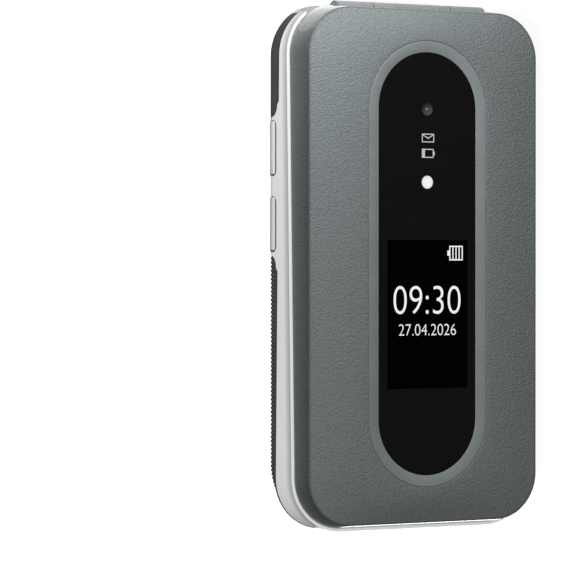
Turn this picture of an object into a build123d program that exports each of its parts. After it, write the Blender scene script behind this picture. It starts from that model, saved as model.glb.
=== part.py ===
from build123d import *
import math
import os

# Clamshell phone, closed and lying on its back. Lengths are millimetres, angles are degrees.
# X runs across the phone, +Y towards the hinge end, +Z out of the lid's front.
# The origin is the middle of the back face.

# Outline of the closed phone
WIDTH = 56.8
LENGTH = 107.8
HALF_WIDTH = WIDTH / 2
HALF_LENGTH = LENGTH / 2
PLAN_RADIUS = 11.0
BACK_ROUNDING = 4.6

# Parting plane between lid and base: the lid is thicker at the hinge end
PARTING_HEIGHT = 11.56
PARTING_TILT = 1.38

# Seam between the silver frame and the dark back
SEAM_HEIGHT = 5.85
SEAM_TILT = 0.97
SEAM_GAP = 0.1

# Lid: a ledge of the frame shows round it, its sides draw in to a crease, its front is a pillow
LEDGE = 0.55
LID_GAP = 0.15
LID_WALL = 1.5
CREASE_SIDE_INSET = 1.44
CREASE_END_INSET = 1.47
CREASE_WIDTH = WIDTH - 2 * CREASE_SIDE_INSET
CREASE_LENGTH = LENGTH - 2 * CREASE_END_INSET
CREASE_RADIUS = 9.5
LID_DEPTH = 5.71
CREASE_HEIGHT = PARTING_HEIGHT + LID_DEPTH
LID_ROOF_DROP = 1.17
LID_ROOF = CREASE_HEIGHT - LID_ROOF_DROP
PILLOW_STEPS = 5

# Stadium window in the lid's front, with a bezel that slopes inwards
WINDOW_SIDE_MARGIN = 16.9
WINDOW_END_MARGIN = 10.7
WINDOW_SHIFT = 0.5
WINDOW_WIDTH = WIDTH - 2 * WINDOW_SIDE_MARGIN
WINDOW_LENGTH = LENGTH - 2 * WINDOW_END_MARGIN
WINDOW_START = WINDOW_SHIFT - WINDOW_LENGTH / 2
WINDOW_END = WINDOW_SHIFT + WINDOW_LENGTH / 2
WINDOW_THICKNESS = 1.1
WINDOW_CLEARANCE = 0.05
GLASS_RISE = 1.03
GLASS_HEIGHT = CREASE_HEIGHT + GLASS_RISE
BEZEL_WIDTH = 2.3
BEZEL_RISE = 1.43
BEZEL_SLOPE = 0.3
BEZEL_OUTER_HEIGHT = CREASE_HEIGHT + BEZEL_RISE
BEZEL_INNER_HEIGHT = BEZEL_OUTER_HEIGHT - BEZEL_SLOPE
BEZEL_CLEARANCE = 0.05
WINDOW_LAND = 0.9

# Camera, flash and display behind the window, placed from the window's ends
CAMERA_FROM_END = 11.65
CAMERA_Y = WINDOW_END - CAMERA_FROM_END
CAMERA_LENS_RADIUS = 1.4
CAMERA_BARREL_RADIUS = 3.0
CAMERA_SIZE = 8.6
CAMERA_DEPTH = 4.1
CAMERA_BARREL = 2.1
FLASH_FROM_END = 26.5
FLASH_Y = WINDOW_END - FLASH_FROM_END
FLASH_RADIUS = 1.38
LENS_CLEARANCE = 0.04
LENS_RECESS = 0.03
OUTER_DISPLAY_MARGIN = 1.3
OUTER_DISPLAY_WIDTH = WINDOW_WIDTH - 2 * OUTER_DISPLAY_MARGIN
OUTER_DISPLAY_LENGTH = 34.0
OUTER_DISPLAY_FROM_START = 32.9
OUTER_DISPLAY_Y = WINDOW_START + OUTER_DISPLAY_FROM_START
OUTER_DISPLAY_THICKNESS = 1.3
LID_BOARD_THICKNESS = 0.6
LID_BOARD_SIDE = 11.4
LID_BOARD_WIDTH = WIDTH - 2 * LID_BOARD_SIDE
LID_BOARD_FROM_START = 12.7
LID_BOARD_START = WINDOW_START + LID_BOARD_FROM_START
LID_BOARD_FROM_END = 2.7
LID_BOARD_END = WINDOW_END - LID_BOARD_FROM_END

# Inner face of the lid: heights from the parting plane, places from the phone's ends and sides
INNER_FACE = 0.5
INNER_PLATE = 0.9
INNER_RIM = 1.6
INNER_RIM_WALL = 0.8
INNER_PLATE_FROM_END = 6.9
INNER_PLATE_END = HALF_LENGTH - INNER_PLATE_FROM_END
FIT = 0.1
DISPLAY_WINDOW_SIDE = 3.9
DISPLAY_WINDOW_WIDTH = WIDTH - 2 * DISPLAY_WINDOW_SIDE
DISPLAY_WINDOW_FROM_FREE_END = 15.9
DISPLAY_WINDOW_START = DISPLAY_WINDOW_FROM_FREE_END - HALF_LENGTH
DISPLAY_WINDOW_FROM_HINGE_END = 25.9
DISPLAY_WINDOW_END = HALF_LENGTH - DISPLAY_WINDOW_FROM_HINGE_END
DISPLAY_WINDOW_THICKNESS = 0.5
DISPLAY_WINDOW_RADIUS = 2.0
DISPLAY_STEP = 1.2
DISPLAY_THICKNESS = 1.6

# Lid screws under rubber bumpers
LID_SCREW_FROM_SIDE = 6.4
LID_SCREW_X = HALF_WIDTH - LID_SCREW_FROM_SIDE
LID_SCREW_FROM_FREE_END = 8.9
LID_SCREW_FROM_HINGE_END = 13.4
LID_SCREW_YS = (LID_SCREW_FROM_FREE_END - HALF_LENGTH, HALF_LENGTH - LID_SCREW_FROM_HINGE_END)
LID_BOSS_RADIUS = 3.3
LID_BOSS_HEIGHT = 1.9
LID_POST_RADIUS = 2.2
LID_SCREW_DEPTH = 4.0
BUMPER_RADIUS = 2.6
BUMPER_SEAT = 0.4

# Earpiece at the lid's free end, closing magnet beside it
EARPIECE_FROM_END = 9.3
EARPIECE_Y = EARPIECE_FROM_END - HALF_LENGTH
EARPIECE_WIDTH = 12.0
EARPIECE_LENGTH = 5.4
EARPIECE_THICKNESS = 1.8
EARPIECE_SLOT_WIDTH = 9.0
EARPIECE_SLOT_LENGTH = 1.2
MAGNET_FROM_SIDE = 15.4
MAGNET_X = HALF_WIDTH - MAGNET_FROM_SIDE
MAGNET_FROM_END = 7.4
MAGNET_Y = MAGNET_FROM_END - HALF_LENGTH
MAGNET_SIZE = (4.5, 3.0, 1.2)

# Hinge: its axis lies in the parting plane, and the lid's end wall swings through a recess
HINGE_INSET = 2.3
BARREL_RADIUS = 2.6
BARREL_CLEARANCE = 0.3
BASE_KNUCKLE_HALF = 9.0
KNUCKLE_GAP = 0.2
KNUCKLE_END = 17.4
SWEEP_CLEARANCE = 0.5
SWEEP_HALF = 21.4
SWEEP_TAPER = 2.4
SWEEP_TIP_RADIUS = 2.1
SWEEP_SETBACK = 1.2
HINGE_BLOCK = 4.3
PIN_RADIUS = 0.9
PIN_CLEARANCE = 0.05
PIN_SEAT_CLEARANCE = 0.02
PIN_END_GAP = 0.3
CAM_RADIUS = 1.9
CAM_END = 16.3
SPRING_WALL = 0.7
KNUCKLE_CHEEK = 1.5
LID_ARM_REACH = 7.1
LID_ARM_THICKNESS = 1.1
BASE_ARM_REACH = 3.6
BASE_ARM_HALF = 7.0

# Silver frame
FRAME_WALL = 2.4
REBATE = 1.6
SEAT_GAP = 0.05

# Back split, and beside it the boss on the left side with the two volume keys
SPLIT_FROM_END = 23.4
SPLIT_Y = HALF_LENGTH - SPLIT_FROM_END
BOSS_LENGTH = 28.1
BOSS_END = SPLIT_Y - SEAM_GAP
BOSS_START = BOSS_END - BOSS_LENGTH
BOSS_SHOULDER = 2.5
BOSS_DEPTH = 3.9
BOSS_FLOOR = 1.3
BOSS_WALL = 1.8
BOSS_POCKET_TOP = 6.6
SIDE_KEY_LENGTH = 11.0
SIDE_KEY_FROM_BOSS_END = 6.3
SIDE_KEY_PITCH = 15.5
SIDE_KEY_UPPER_Y = BOSS_END - SIDE_KEY_FROM_BOSS_END
SIDE_KEY_LOWER_Y = SIDE_KEY_UPPER_Y - SIDE_KEY_PITCH
SIDE_KEY_HEIGHT = 3.7
SIDE_KEY_Z = 4.0
SIDE_KEY_RADIUS = 1.2
SIDE_KEY_CLEARANCE = 0.2
SIDE_KEY_ROUNDING = BACK_ROUNDING - 0.5
SIDE_KEY_FLANGE = 0.35
SIDE_KEY_FLANGE_THICKNESS = 0.4
SIDE_KEY_TRAVEL = 0.35
SIDE_KEY_STEM = 0.6
SIDE_KEY_STEM_WIDTH = 2.0
SIDE_SWITCH_SIZE = (1.4, 4.0, 2.4)

# Keypad deck and what lies under it, measured down from the parting plane
DECK_RECESS = 0.4
DECK_THICKNESS = 1.2
KEY_PROUD = 0.5
KEY_TRAVEL = 0.3
KEY_CLEARANCE = 0.2
KEY_FLANGE = 0.45
KEY_FLANGE_THICKNESS = 0.3
KEY_EDGE = 0.25
MAT_THICKNESS = 0.35
DOME_THICKNESS = 0.2
BOARD_THICKNESS = 0.8
LAYER_GAP = 0.02
MAT_SIDE = 3.9
MAT_WIDTH = WIDTH - 2 * MAT_SIDE
MAT_FROM_FREE_END = 17.6
MAT_START = MAT_FROM_FREE_END - HALF_LENGTH
MAT_FROM_HINGE_END = 13.9
MAT_END = HALF_LENGTH - MAT_FROM_HINGE_END
BOARD_FROM_FREE_END = 4.9
BOARD_START = BOARD_FROM_FREE_END - HALF_LENGTH
BOARD_FROM_HINGE_END = 7.9
BOARD_END = HALF_LENGTH - BOARD_FROM_HINGE_END
BOARD_INSET = 3.4
POST_CLEARANCE = 0.4
MAT_BRIDGE = 1.6

# Digit keys in a grid of three columns and four rows, then the navigation cluster
KEYPAD_SIDE = 3.65
KEYPAD_FROM_FREE_END = 17.15
KEYPAD_FROM_HINGE_END = 40.65
DIGIT_GAP_X = 2.0
DIGIT_GAP_Y = 3.0
DIGIT_RADIUS = 2.5
DIGIT_NAMES = (
    ("key_1", "key_2", "key_3"),
    ("key_4", "key_5", "key_6"),
    ("key_7", "key_8", "key_9"),
    ("key_star", "key_0", "key_hash"),
)
DIGIT_PITCH_X = (WIDTH - 2 * KEYPAD_SIDE) / len(DIGIT_NAMES[0])
DIGIT_PITCH_Y = (LENGTH - KEYPAD_FROM_FREE_END - KEYPAD_FROM_HINGE_END) / len(DIGIT_NAMES)
DIGIT_WIDTH = DIGIT_PITCH_X - DIGIT_GAP_X
DIGIT_HEIGHT = DIGIT_PITCH_Y - DIGIT_GAP_Y
DIGIT_TOP_Y = HALF_LENGTH - KEYPAD_FROM_HINGE_END - DIGIT_PITCH_Y / 2
SIDE_COLUMN_FROM_SIDE = 10.9
SIDE_COLUMN_X = HALF_WIDTH - SIDE_COLUMN_FROM_SIDE
ROCKER_FROM_END = 25.9
ROCKER_Y = HALF_LENGTH - ROCKER_FROM_END
ROCKER_FROM_COLUMN = 7.9
ROCKER_RADIUS = SIDE_COLUMN_X - ROCKER_FROM_COLUMN
ROCKER_BORE_SHARE = 0.51
ROCKER_BORE = ROCKER_BORE_SHARE * ROCKER_RADIUS
ROCKER_DROP = 0.3
OK_CLEARANCE = 0.6
OK_RADIUS = ROCKER_BORE - OK_CLEARANCE
CLUSTER_RISE = 6.0
SOFT_KEY_Y = ROCKER_Y + CLUSTER_RISE
SOFT_KEY_SIZE = (10.0, 6.0)
CALL_KEY_Y = ROCKER_Y - CLUSTER_RISE
CALL_KEY_SIZE = (10.0, 7.0)
FUNCTION_KEY_RADIUS = 2.0

# Rear housing: an inner tray, and the smooth part of the back above the cover
TRAY_INSET = 2.55
TRAY_FLOOR = 1.35
TRAY_TOP = 6.7
HOUSING_WALL = 1.5
CHAMBER_TOP = 6.0
CHAMBER_FROM_END = 7.9
CHAMBER_END = HALF_LENGTH - CHAMBER_FROM_END
BAY_SIDE = 10.2
BAY_WIDTH = WIDTH - 2 * BAY_SIDE
BAY_FROM_FREE_END = 24.7
BAY_START = BAY_FROM_FREE_END - HALF_LENGTH
BAY_FROM_SPLIT = 6.4
BAY_END = SPLIT_Y - BAY_FROM_SPLIT
BAY_TOP = 6.05
BATTERY_CLEARANCE = 0.3
BATTERY_THICKNESS = 4.5
BATTERY_EDGE = 1.0
ANTENNA_SIDE = 11.4
ANTENNA_POCKET = (WIDTH - 2 * ANTENNA_SIDE, 9.5, 4.4)
ANTENNA_FROM_END = 8.7
ANTENNA_Y = ANTENNA_FROM_END - HALF_LENGTH
ANTENNA_CLEARANCE = 0.15
SOCKET_SHELF = 4.9
SOCKET_POCKET_LENGTH = 14.4
SOCKET_POCKET_END = SOCKET_POCKET_LENGTH - HALF_LENGTH
SOCKET_POCKET_SIDE = 8.4
SOCKET_POCKET_WIDTH = WIDTH - 2 * SOCKET_POCKET_SIDE

# Screws that hold the deck to the tray, from the back
BASE_SCREW_FROM_SIDE = 7.8
BASE_SCREW_X = HALF_WIDTH - BASE_SCREW_FROM_SIDE
BASE_SCREW_FROM_FREE_END = 15.4
BASE_SCREW_FROM_HINGE_END = 38.5
BASE_SCREW_YS = (BASE_SCREW_FROM_FREE_END - HALF_LENGTH, HALF_LENGTH - BASE_SCREW_FROM_HINGE_END)
SCREW_HEAD_RADIUS = 1.4
SCREW_HEAD_HEIGHT = 0.7
SCREW_RADIUS = 0.55
SCREW_CLEARANCE = 0.15
THREAD_CLEARANCE = 0.05
BASE_SCREW_SEAT = 3.0
BASE_SCREW_LENGTH = 6.2
DECK_POST_RADIUS = 1.7

# Battery cover
COVER_PANEL = 1.2
COVER_WALL = 1.3
HOOK_FROM_SIDE = 6.9
HOOK_X = HALF_WIDTH - HOOK_FROM_SIDE
HOOK_YS = (-21.0, -8.0)
HOOK_SIZE = (2.0, 2.4, 2.3)
HOOK_LIP = 1.6
HOOK_LIP_THICKNESS = 0.7
HOOK_LIP_CLEARANCE = 0.15
HOOK_SLOT_CLEARANCE = 0.3
COVER_TRAVEL = 6.0

# Sockets and small parts
USB_WIDTH = 8.94
USB_HEIGHT = 3.2
USB_DEPTH = 7.3
USB_WALL = 0.32
USB_Z = 7.3
USB_RECESS = 0.25
USB_TONGUE = (6.7, 4.6, 0.7)
USB_CLEARANCE = 0.25
JACK_FROM_SIDE = 14.4
JACK_X = HALF_WIDTH - JACK_FROM_SIDE
JACK_Z = 7.45
JACK_BORE_RADIUS = 1.75
JACK_BORE_LENGTH = 12.0
JACK_NOSE_RADIUS = 2.3
JACK_NOSE = 1.2
JACK_BODY = (5.8, 13.0, 4.9)
JACK_RECESS = 0.2
MICROPHONE_X = -JACK_X
MICROPHONE_SIZE = (3.8, 3.0, 1.2)
MICROPHONE_FROM_END = 4.5
MICROPHONE_Y = MICROPHONE_FROM_END - HALF_LENGTH
MICROPHONE_HOLE_RADIUS = 0.6
MICROPHONE_HOLE_Z = 8.4
SPEAKER_FROM_END = 14.4
SPEAKER_Y = HALF_LENGTH - SPEAKER_FROM_END
SPEAKER_SIZE = (16.0, 11.0, 3.9)
SPEAKER_SLOTS = 5
SPEAKER_SLOT_PITCH = 2.6
SPEAKER_SLOT_SIZE = (1.1, 8.0)
MOTOR_FROM_SIDE = 11.4
MOTOR_X = HALF_WIDTH - MOTOR_FROM_SIDE
MOTOR_Y = SPEAKER_Y
MOTOR_RADIUS = 5.0
MOTOR_HEIGHT = 2.8
CARD_SIZE = (16.0, 18.0, 1.2)
CARD_Y = 5.0
CARD_CLEARANCE = 0.3
CARD_SIDE = 1.0
CARD_SLOT = 0.6
CAN_SIZE = (18.0, 18.0, 1.2)
CAN_X = 12.0
CAN_FROM_END = 27.9
CAN_Y = CAN_FROM_END - HALF_LENGTH
CONTACT_SIZE = (10.0, 3.6)
CONTACT_LOW = 3.0
CONTACT_BLADES = 3
CONTACT_BLADE_PITCH = 2.8
CONTACT_BLADE_WIDTH = 1.2
CONTACT_GAP = 0.1

# Longer than any part, for half-space cuts; how far a cut runs past a face; corner picking tolerance
BEYOND = 3 * LENGTH
PAST = 1.0
TOUCH = 0.01

AXIS_Y = HALF_LENGTH - HINGE_INSET
AXIS_Z = PARTING_HEIGHT - AXIS_Y * math.tan(math.radians(PARTING_TILT))
PARTING = Location((0, 0, PARTING_HEIGHT), (-PARTING_TILT, 0, 0))
SEAM = Location((0, 0, SEAM_HEIGHT), (SEAM_TILT, 0, 0))
HINGE_BLOCK_START = AXIS_Y - HINGE_BLOCK
RECESS_START = AXIS_Y - SWEEP_SETBACK

DECK_TOP = -DECK_RECESS
DECK_UNDER = DECK_TOP - DECK_THICKNESS
FLANGE_TOP = DECK_UNDER - LAYER_GAP
FLANGE_LOW = FLANGE_TOP - KEY_FLANGE_THICKNESS
MAT_TOP = FLANGE_LOW - KEY_TRAVEL - SEAT_GAP
MAT_LOW = MAT_TOP - MAT_THICKNESS
DOME_LOW = MAT_LOW - DOME_THICKNESS
BOARD_TOP = DOME_LOW - LAYER_GAP
BOARD_LOW = BOARD_TOP - BOARD_THICKNESS

WINDOW_LOW = GLASS_HEIGHT - WINDOW_THICKNESS


def block(x, y, z):
    """Block between a pair of limits on each axis."""
    size = Box(x[1] - x[0], y[1] - y[0], z[1] - z[0])
    return Pos((x[0] + x[1]) / 2, (y[0] + y[1]) / 2, (z[0] + z[1]) / 2) * size


def slab(low, high):
    """Everything between two heights measured from the tilted parting plane."""
    return PARTING * block((-BEYOND, BEYOND), (-BEYOND, BEYOND), (low, high))


def before(y):
    """Everything on the free-end side of a plane across the phone."""
    return block((-BEYOND, BEYOND), (-BEYOND, y), (-BEYOND, BEYOND))


def behind(y):
    """Everything on the hinge side of a plane across the phone."""
    return block((-BEYOND, BEYOND), (y, BEYOND), (-BEYOND, BEYOND))


def outline_prism(inset, low, high):
    """Upright prism on the phone's outline, drawn in by an inset."""
    outline = RectangleRounded(WIDTH - 2 * inset, LENGTH - 2 * inset, PLAN_RADIUS - inset)
    return Pos(0, 0, low) * extrude(outline, high - low)


def post(x, y, radius, low, high):
    """Upright cylinder between two heights."""
    return Pos(x, y, (low + high) / 2) * Cylinder(radius, high - low)


def axle(radius, x_start, x_end):
    """Cylinder on the hinge axis between two places across the phone."""
    place = Location(((x_start + x_end) / 2, AXIS_Y, AXIS_Z), (0, 90, 0))
    return place * Cylinder(radius, x_end - x_start)


def stadium(width, low, high):
    """Upright prism on the window's outline at another width."""
    outline = SlotOverall(WINDOW_LENGTH - WINDOW_WIDTH + width, width, rotation=90)
    return Pos(0, WINDOW_SHIFT, low) * extrude(outline, high - low)


def mirrored_pair(shape):
    """A shape and its twin on the other side of the phone."""
    return [shape, mirror(shape, Plane.YZ)]


def group(shapes):
    """Separate solids that share one node."""
    return Compound(children=[solid for shape in shapes for solid in shape.solids()])


# Shared volumes


def base_envelope():
    """Outside of the whole base, lid side cut by the parting plane."""
    body = outline_prism(0, 0, CREASE_HEIGHT)
    back_edges = body.faces().sort_by(Axis.Z)[0].edges()
    return fillet(back_edges, BACK_ROUNDING) & slab(-BEYOND, 0)


def silver_region(gap):
    """Space above the seam, and the boss on the left with rounded shoulders, grown by a gap."""
    middle = (BOSS_START + BOSS_END) / 2
    strip = Pos(0, BEYOND / 2 - gap) * Rectangle(2 * BEYOND, BEYOND)
    boss = Pos(middle, 0) * Rectangle(BOSS_END - BOSS_START + 2 * gap, BEYOND)
    profile = strip + boss
    corners = profile.vertices().filter_by_position(Axis.Y, -gap - TOUCH, -gap + TOUCH)
    shoulders = corners.filter_by_position(Axis.X, -LENGTH, LENGTH)
    profile = fillet(shoulders, BOSS_SHOULDER)
    inner_face = -(HALF_WIDTH - BOSS_DEPTH) + gap
    side = Pos(inner_face - BEYOND, 0, 0) * extrude(Plane.YZ * profile, BEYOND)
    above = block((-BEYOND, BEYOND), (-BEYOND, BEYOND), (-gap, BEYOND))
    return SEAM * (above + side)


def lid_sweep():
    """Room for the lid's end wall as it swings round the hinge axis."""
    reach = math.hypot(CREASE_LENGTH / 2 - AXIS_Y, CREASE_HEIGHT - AXIS_Z) + SWEEP_CLEARANCE
    end = SWEEP_HALF + SWEEP_TAPER
    room = axle(reach, -SWEEP_HALF, SWEEP_HALF)
    for side in (-1, 1):
        place = Location((side * (SWEEP_HALF + end) / 2, AXIS_Y, AXIS_Z), (0, side * 90, 0))
        room += place * Cone(reach, SWEEP_TIP_RADIUS, SWEEP_TAPER)
    return (room & behind(RECESS_START)) + axle(SWEEP_TIP_RADIUS, -end, end)


def barrel_pocket():
    """Round room for the hinge barrel, with running clearance."""
    end = KNUCKLE_END + BARREL_CLEARANCE
    return axle(BARREL_RADIUS + BARREL_CLEARANCE, -end, end)


def base_arm(clearance):
    """Foot that keys the middle knuckle into the frame's hinge block."""
    half = BASE_ARM_HALF + clearance
    depth = (-BARREL_RADIUS - clearance, -BARREL_CLEARANCE + clearance)
    return Pos(0, AXIS_Y, AXIS_Z) * block((-half, half), (-BASE_ARM_REACH - clearance, 0), depth)


def lid_band(inset, low):
    """Drafted side band of the lid, from the parting plane up to the crease."""
    lower_outline = RectangleRounded(
        WIDTH - 2 * LEDGE - 2 * inset,
        LENGTH - 2 * LEDGE - 2 * inset,
        PLAN_RADIUS - LEDGE - inset,
    )
    upper_outline = RectangleRounded(
        CREASE_WIDTH - 2 * inset, CREASE_LENGTH - 2 * inset, CREASE_RADIUS - inset
    )
    lower = PARTING * Pos(0, 0, low) * lower_outline
    upper = Pos(0, 0, CREASE_HEIGHT) * upper_outline
    return loft([lower, upper], ruled=True)


def pillow():
    """Crowned front of the lid, steep at the crease and level at the bezel."""
    bezel_width = WINDOW_WIDTH + 2 * BEZEL_WIDTH + 2 * BEZEL_CLEARANCE
    bezel_length = WINDOW_LENGTH + 2 * BEZEL_WIDTH + 2 * BEZEL_CLEARANCE
    bezel_radius = bezel_width / 2 - BEZEL_CLEARANCE
    sections = []
    for step in range(PILLOW_STEPS + 1):
        share = step / PILLOW_STEPS
        width = CREASE_WIDTH + share * (bezel_width - CREASE_WIDTH)
        length = CREASE_LENGTH + share * (bezel_length - CREASE_LENGTH)
        radius = CREASE_RADIUS + share * (bezel_radius - CREASE_RADIUS)
        rise = (BEZEL_OUTER_HEIGHT - CREASE_HEIGHT) * math.sin(share * math.pi / 2)
        place = Pos(0, share * WINDOW_SHIFT, CREASE_HEIGHT + rise)
        sections.append(place * RectangleRounded(width, length, radius))
    return loft(sections, ruled=True)


def deck_screw_places():
    return [(side * BASE_SCREW_X, y) for y in BASE_SCREW_YS for side in (-1, 1)]


def lid_screw_places():
    return [(side * LID_SCREW_X, y) for y in LID_SCREW_YS for side in (-1, 1)]


# Base


def base_frame():
    """Silver frame: side walls, boss for the side keys and block round the hinge barrel."""
    frame = base_envelope() & silver_region(0)
    frame -= outline_prism(FRAME_WALL, BOSS_FLOOR, CREASE_HEIGHT) & before(HINGE_BLOCK_START)
    rebate = outline_prism(REBATE, 0, CREASE_HEIGHT) & slab(DECK_UNDER - SEAT_GAP, BEYOND)
    frame -= rebate & before(HINGE_BLOCK_START)
    pocket_x = (-(HALF_WIDTH - BOSS_WALL), -(HALF_WIDTH - BOSS_DEPTH) + FIT)
    pocket_y = (BOSS_START + SIDE_KEY_FLANGE, BOSS_END - SIDE_KEY_FLANGE)
    frame -= block(pocket_x, pocket_y, (BOSS_FLOOR, BOSS_POCKET_TOP))
    for y in (SIDE_KEY_UPPER_Y, SIDE_KEY_LOWER_Y):
        frame -= side_key_body(y, SIDE_KEY_CLEARANCE, -HALF_WIDTH - PAST, -HALF_WIDTH + BOSS_WALL + PAST)
    frame -= lid_sweep()
    frame -= barrel_pocket()
    frame -= base_arm(SEAT_GAP)
    frame -= usb_outline(USB_CLEARANCE, -HALF_LENGTH - PAST, -HALF_LENGTH + FRAME_WALL + PAST)
    frame -= end_hole(JACK_X, JACK_Z, JACK_NOSE_RADIUS + FIT)
    frame -= jack_pocket()
    frame -= end_hole(MICROPHONE_X, MICROPHONE_HOLE_Z, MICROPHONE_HOLE_RADIUS)
    return frame


def end_hole(x, z, radius):
    """Round hole through the wall at the free end."""
    place = Location((x, -HALF_LENGTH + FRAME_WALL / 2, z), (90, 0, 0))
    return place * Cylinder(radius, FRAME_WALL + 2 * PAST)


def side_key_body(y, grow, x_start, x_end):
    """Rounded bar of a side key, lying across the side wall."""
    length = SIDE_KEY_LENGTH + 2 * grow
    height = SIDE_KEY_HEIGHT + 2 * grow
    outline = RectangleRounded(length, height, SIDE_KEY_RADIUS + grow)
    face = Plane.YZ * Pos(y, SIDE_KEY_Z) * outline
    return Pos(x_start, 0, 0) * extrude(face, x_end - x_start)


def side_key(y):
    """Volume key that follows the rounded wall, with a flange behind it and a stem for its switch."""
    wall_inner = -HALF_WIDTH + BOSS_WALL
    flange_start = wall_inner + LAYER_GAP
    flange_end = flange_start + SIDE_KEY_FLANGE_THICKNESS
    body = outline_prism(0, 0, CREASE_HEIGHT)
    back_edges = body.faces().sort_by(Axis.Z)[0].edges()
    key = side_key_body(y, 0, -HALF_WIDTH, flange_start) & fillet(back_edges, SIDE_KEY_ROUNDING)
    key += side_key_body(y, SIDE_KEY_FLANGE, flange_start, flange_end)
    half = SIDE_KEY_STEM_WIDTH / 2
    stem_z = (SIDE_KEY_Z - half, SIDE_KEY_Z + half)
    key += block((flange_end - FIT, flange_end + SIDE_KEY_STEM), (y - half, y + half), stem_z)
    return key


def side_key_switches():
    """Two small push switches, one behind each side key."""
    start = -HALF_WIDTH + BOSS_WALL + LAYER_GAP + SIDE_KEY_FLANGE_THICKNESS
    start += SIDE_KEY_STEM + SIDE_KEY_TRAVEL + SEAT_GAP
    depth, length, height = SIDE_SWITCH_SIZE
    switches = []
    for y in (SIDE_KEY_UPPER_Y, SIDE_KEY_LOWER_Y):
        low = SIDE_KEY_Z - height / 2
        switch_y = (y - length / 2, y + length / 2)
        switches.append(block((start, start + depth), switch_y, (low, low + height)))
    return group(switches)


def switch_pocket():
    """Room in the tray for the side keys' flanges and switches."""
    end = -HALF_WIDTH + BOSS_WALL + LAYER_GAP + SIDE_KEY_FLANGE_THICKNESS
    end += SIDE_KEY_STEM + SIDE_KEY_TRAVEL + SEAT_GAP + SIDE_SWITCH_SIZE[0] + LAYER_GAP
    return block((-HALF_WIDTH, end), (BOSS_START, BOSS_END - FIT), (0, BEYOND))


def keypad_deck():
    """Plate round the keys, with posts that take the base screws."""
    deck = outline_prism(REBATE + FIT, 0, CREASE_HEIGHT) & slab(DECK_UNDER, DECK_TOP)
    deck = deck & before(HINGE_BLOCK_START - FIT)
    for outline in key_outlines().values():
        grown = offset(outline, KEY_CLEARANCE)
        deck -= PARTING * Pos(0, 0, DECK_UNDER - PAST) * extrude(grown, DECK_THICKNESS + 2 * PAST)
    for x, y in deck_screw_places():
        column = post(x, y, DECK_POST_RADIUS, TRAY_TOP + SEAT_GAP, CREASE_HEIGHT)
        deck += column & slab(-BEYOND, DECK_UNDER)
    for x, y in deck_screw_places():
        deck -= post(x, y, SCREW_RADIUS + THREAD_CLEARANCE, 0, BASE_SCREW_SEAT + BASE_SCREW_LENGTH + FIT)
    return deck


def key_outlines():
    """Plan outline of each key that stands in a hole of the deck, under its name."""
    outlines = {}
    for row, names in enumerate(DIGIT_NAMES):
        for column, name in enumerate(names):
            place = Pos((column - 1) * DIGIT_PITCH_X, DIGIT_TOP_Y - row * DIGIT_PITCH_Y)
            outlines[name] = place * RectangleRounded(DIGIT_WIDTH, DIGIT_HEIGHT, DIGIT_RADIUS)
    for name, side in (("soft_key_left", -1), ("soft_key_right", 1)):
        place = Pos(side * SIDE_COLUMN_X, SOFT_KEY_Y)
        outlines[name] = place * RectangleRounded(*SOFT_KEY_SIZE, FUNCTION_KEY_RADIUS)
    for name, side in (("call_key", -1), ("end_key", 1)):
        place = Pos(side * SIDE_COLUMN_X, CALL_KEY_Y)
        outlines[name] = place * RectangleRounded(*CALL_KEY_SIZE, FUNCTION_KEY_RADIUS)
    outlines["navigation_rocker"] = Pos(0, ROCKER_Y) * Circle(ROCKER_RADIUS)
    return outlines


def key(outline, bore, drop):
    """Key cap that stands out of the deck, with a flange under it, an optional bore and drop."""
    flange_outline = offset(outline, KEY_FLANGE)
    if bore:
        hole = Pos(0, ROCKER_Y) * Circle(bore)
        outline = outline - hole
        flange_outline = flange_outline - hole
    flange_low = FLANGE_LOW - drop
    cap = Pos(0, 0, flange_low) * extrude(outline, DECK_TOP + KEY_PROUD - flange_low)
    cap = fillet(cap.faces().sort_by(Axis.Z)[-1].edges(), KEY_EDGE)
    cap += Pos(0, 0, flange_low) * extrude(flange_outline, KEY_FLANGE_THICKNESS)
    return PARTING * cap


def keypad_mat():
    """Silicone sheet under the keys, open under the rocker and with an island for the centre key."""
    mat = block((-MAT_WIDTH / 2, MAT_WIDTH / 2), (MAT_START, MAT_END), (MAT_LOW, MAT_TOP))
    reach = ROCKER_RADIUS + KEY_FLANGE + KEY_CLEARANCE
    opening = Circle(reach) - Circle(OK_RADIUS - KEY_FLANGE) - Rectangle(2 * reach, MAT_BRIDGE)
    mat -= Pos(0, ROCKER_Y, MAT_LOW - PAST) * extrude(opening, MAT_THICKNESS + 2 * PAST)
    return PARTING * post_holes(mat)


def post_holes(sheet):
    """A sheet of the stack with room for the deck's posts."""
    for x, y in deck_screw_places():
        sheet -= post(x, y, DECK_POST_RADIUS + POST_CLEARANCE, -BEYOND, BEYOND)
    return sheet


def dome_sheet():
    """Thin sheet that carries the snap domes."""
    sheet = block((-MAT_WIDTH / 2, MAT_WIDTH / 2), (MAT_START, MAT_END), (DOME_LOW, MAT_LOW))
    return PARTING * post_holes(sheet)


def main_board():
    """Printed circuit board of the base, notched for the headset jack."""
    board = outline_prism(BOARD_INSET, 0, CREASE_HEIGHT) & slab(BOARD_LOW, BOARD_TOP)
    board = board & behind(BOARD_START) & before(BOARD_END)
    width, length, _ = JACK_BODY
    notch_end = -HALF_LENGTH + JACK_RECESS + JACK_NOSE + length + KEY_CLEARANCE
    board -= block(
        (JACK_X - width / 2 - KEY_CLEARANCE, JACK_X + width / 2 + KEY_CLEARANCE),
        (-BEYOND, notch_end),
        (0, BEYOND),
    )
    return post_holes(board)


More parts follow.
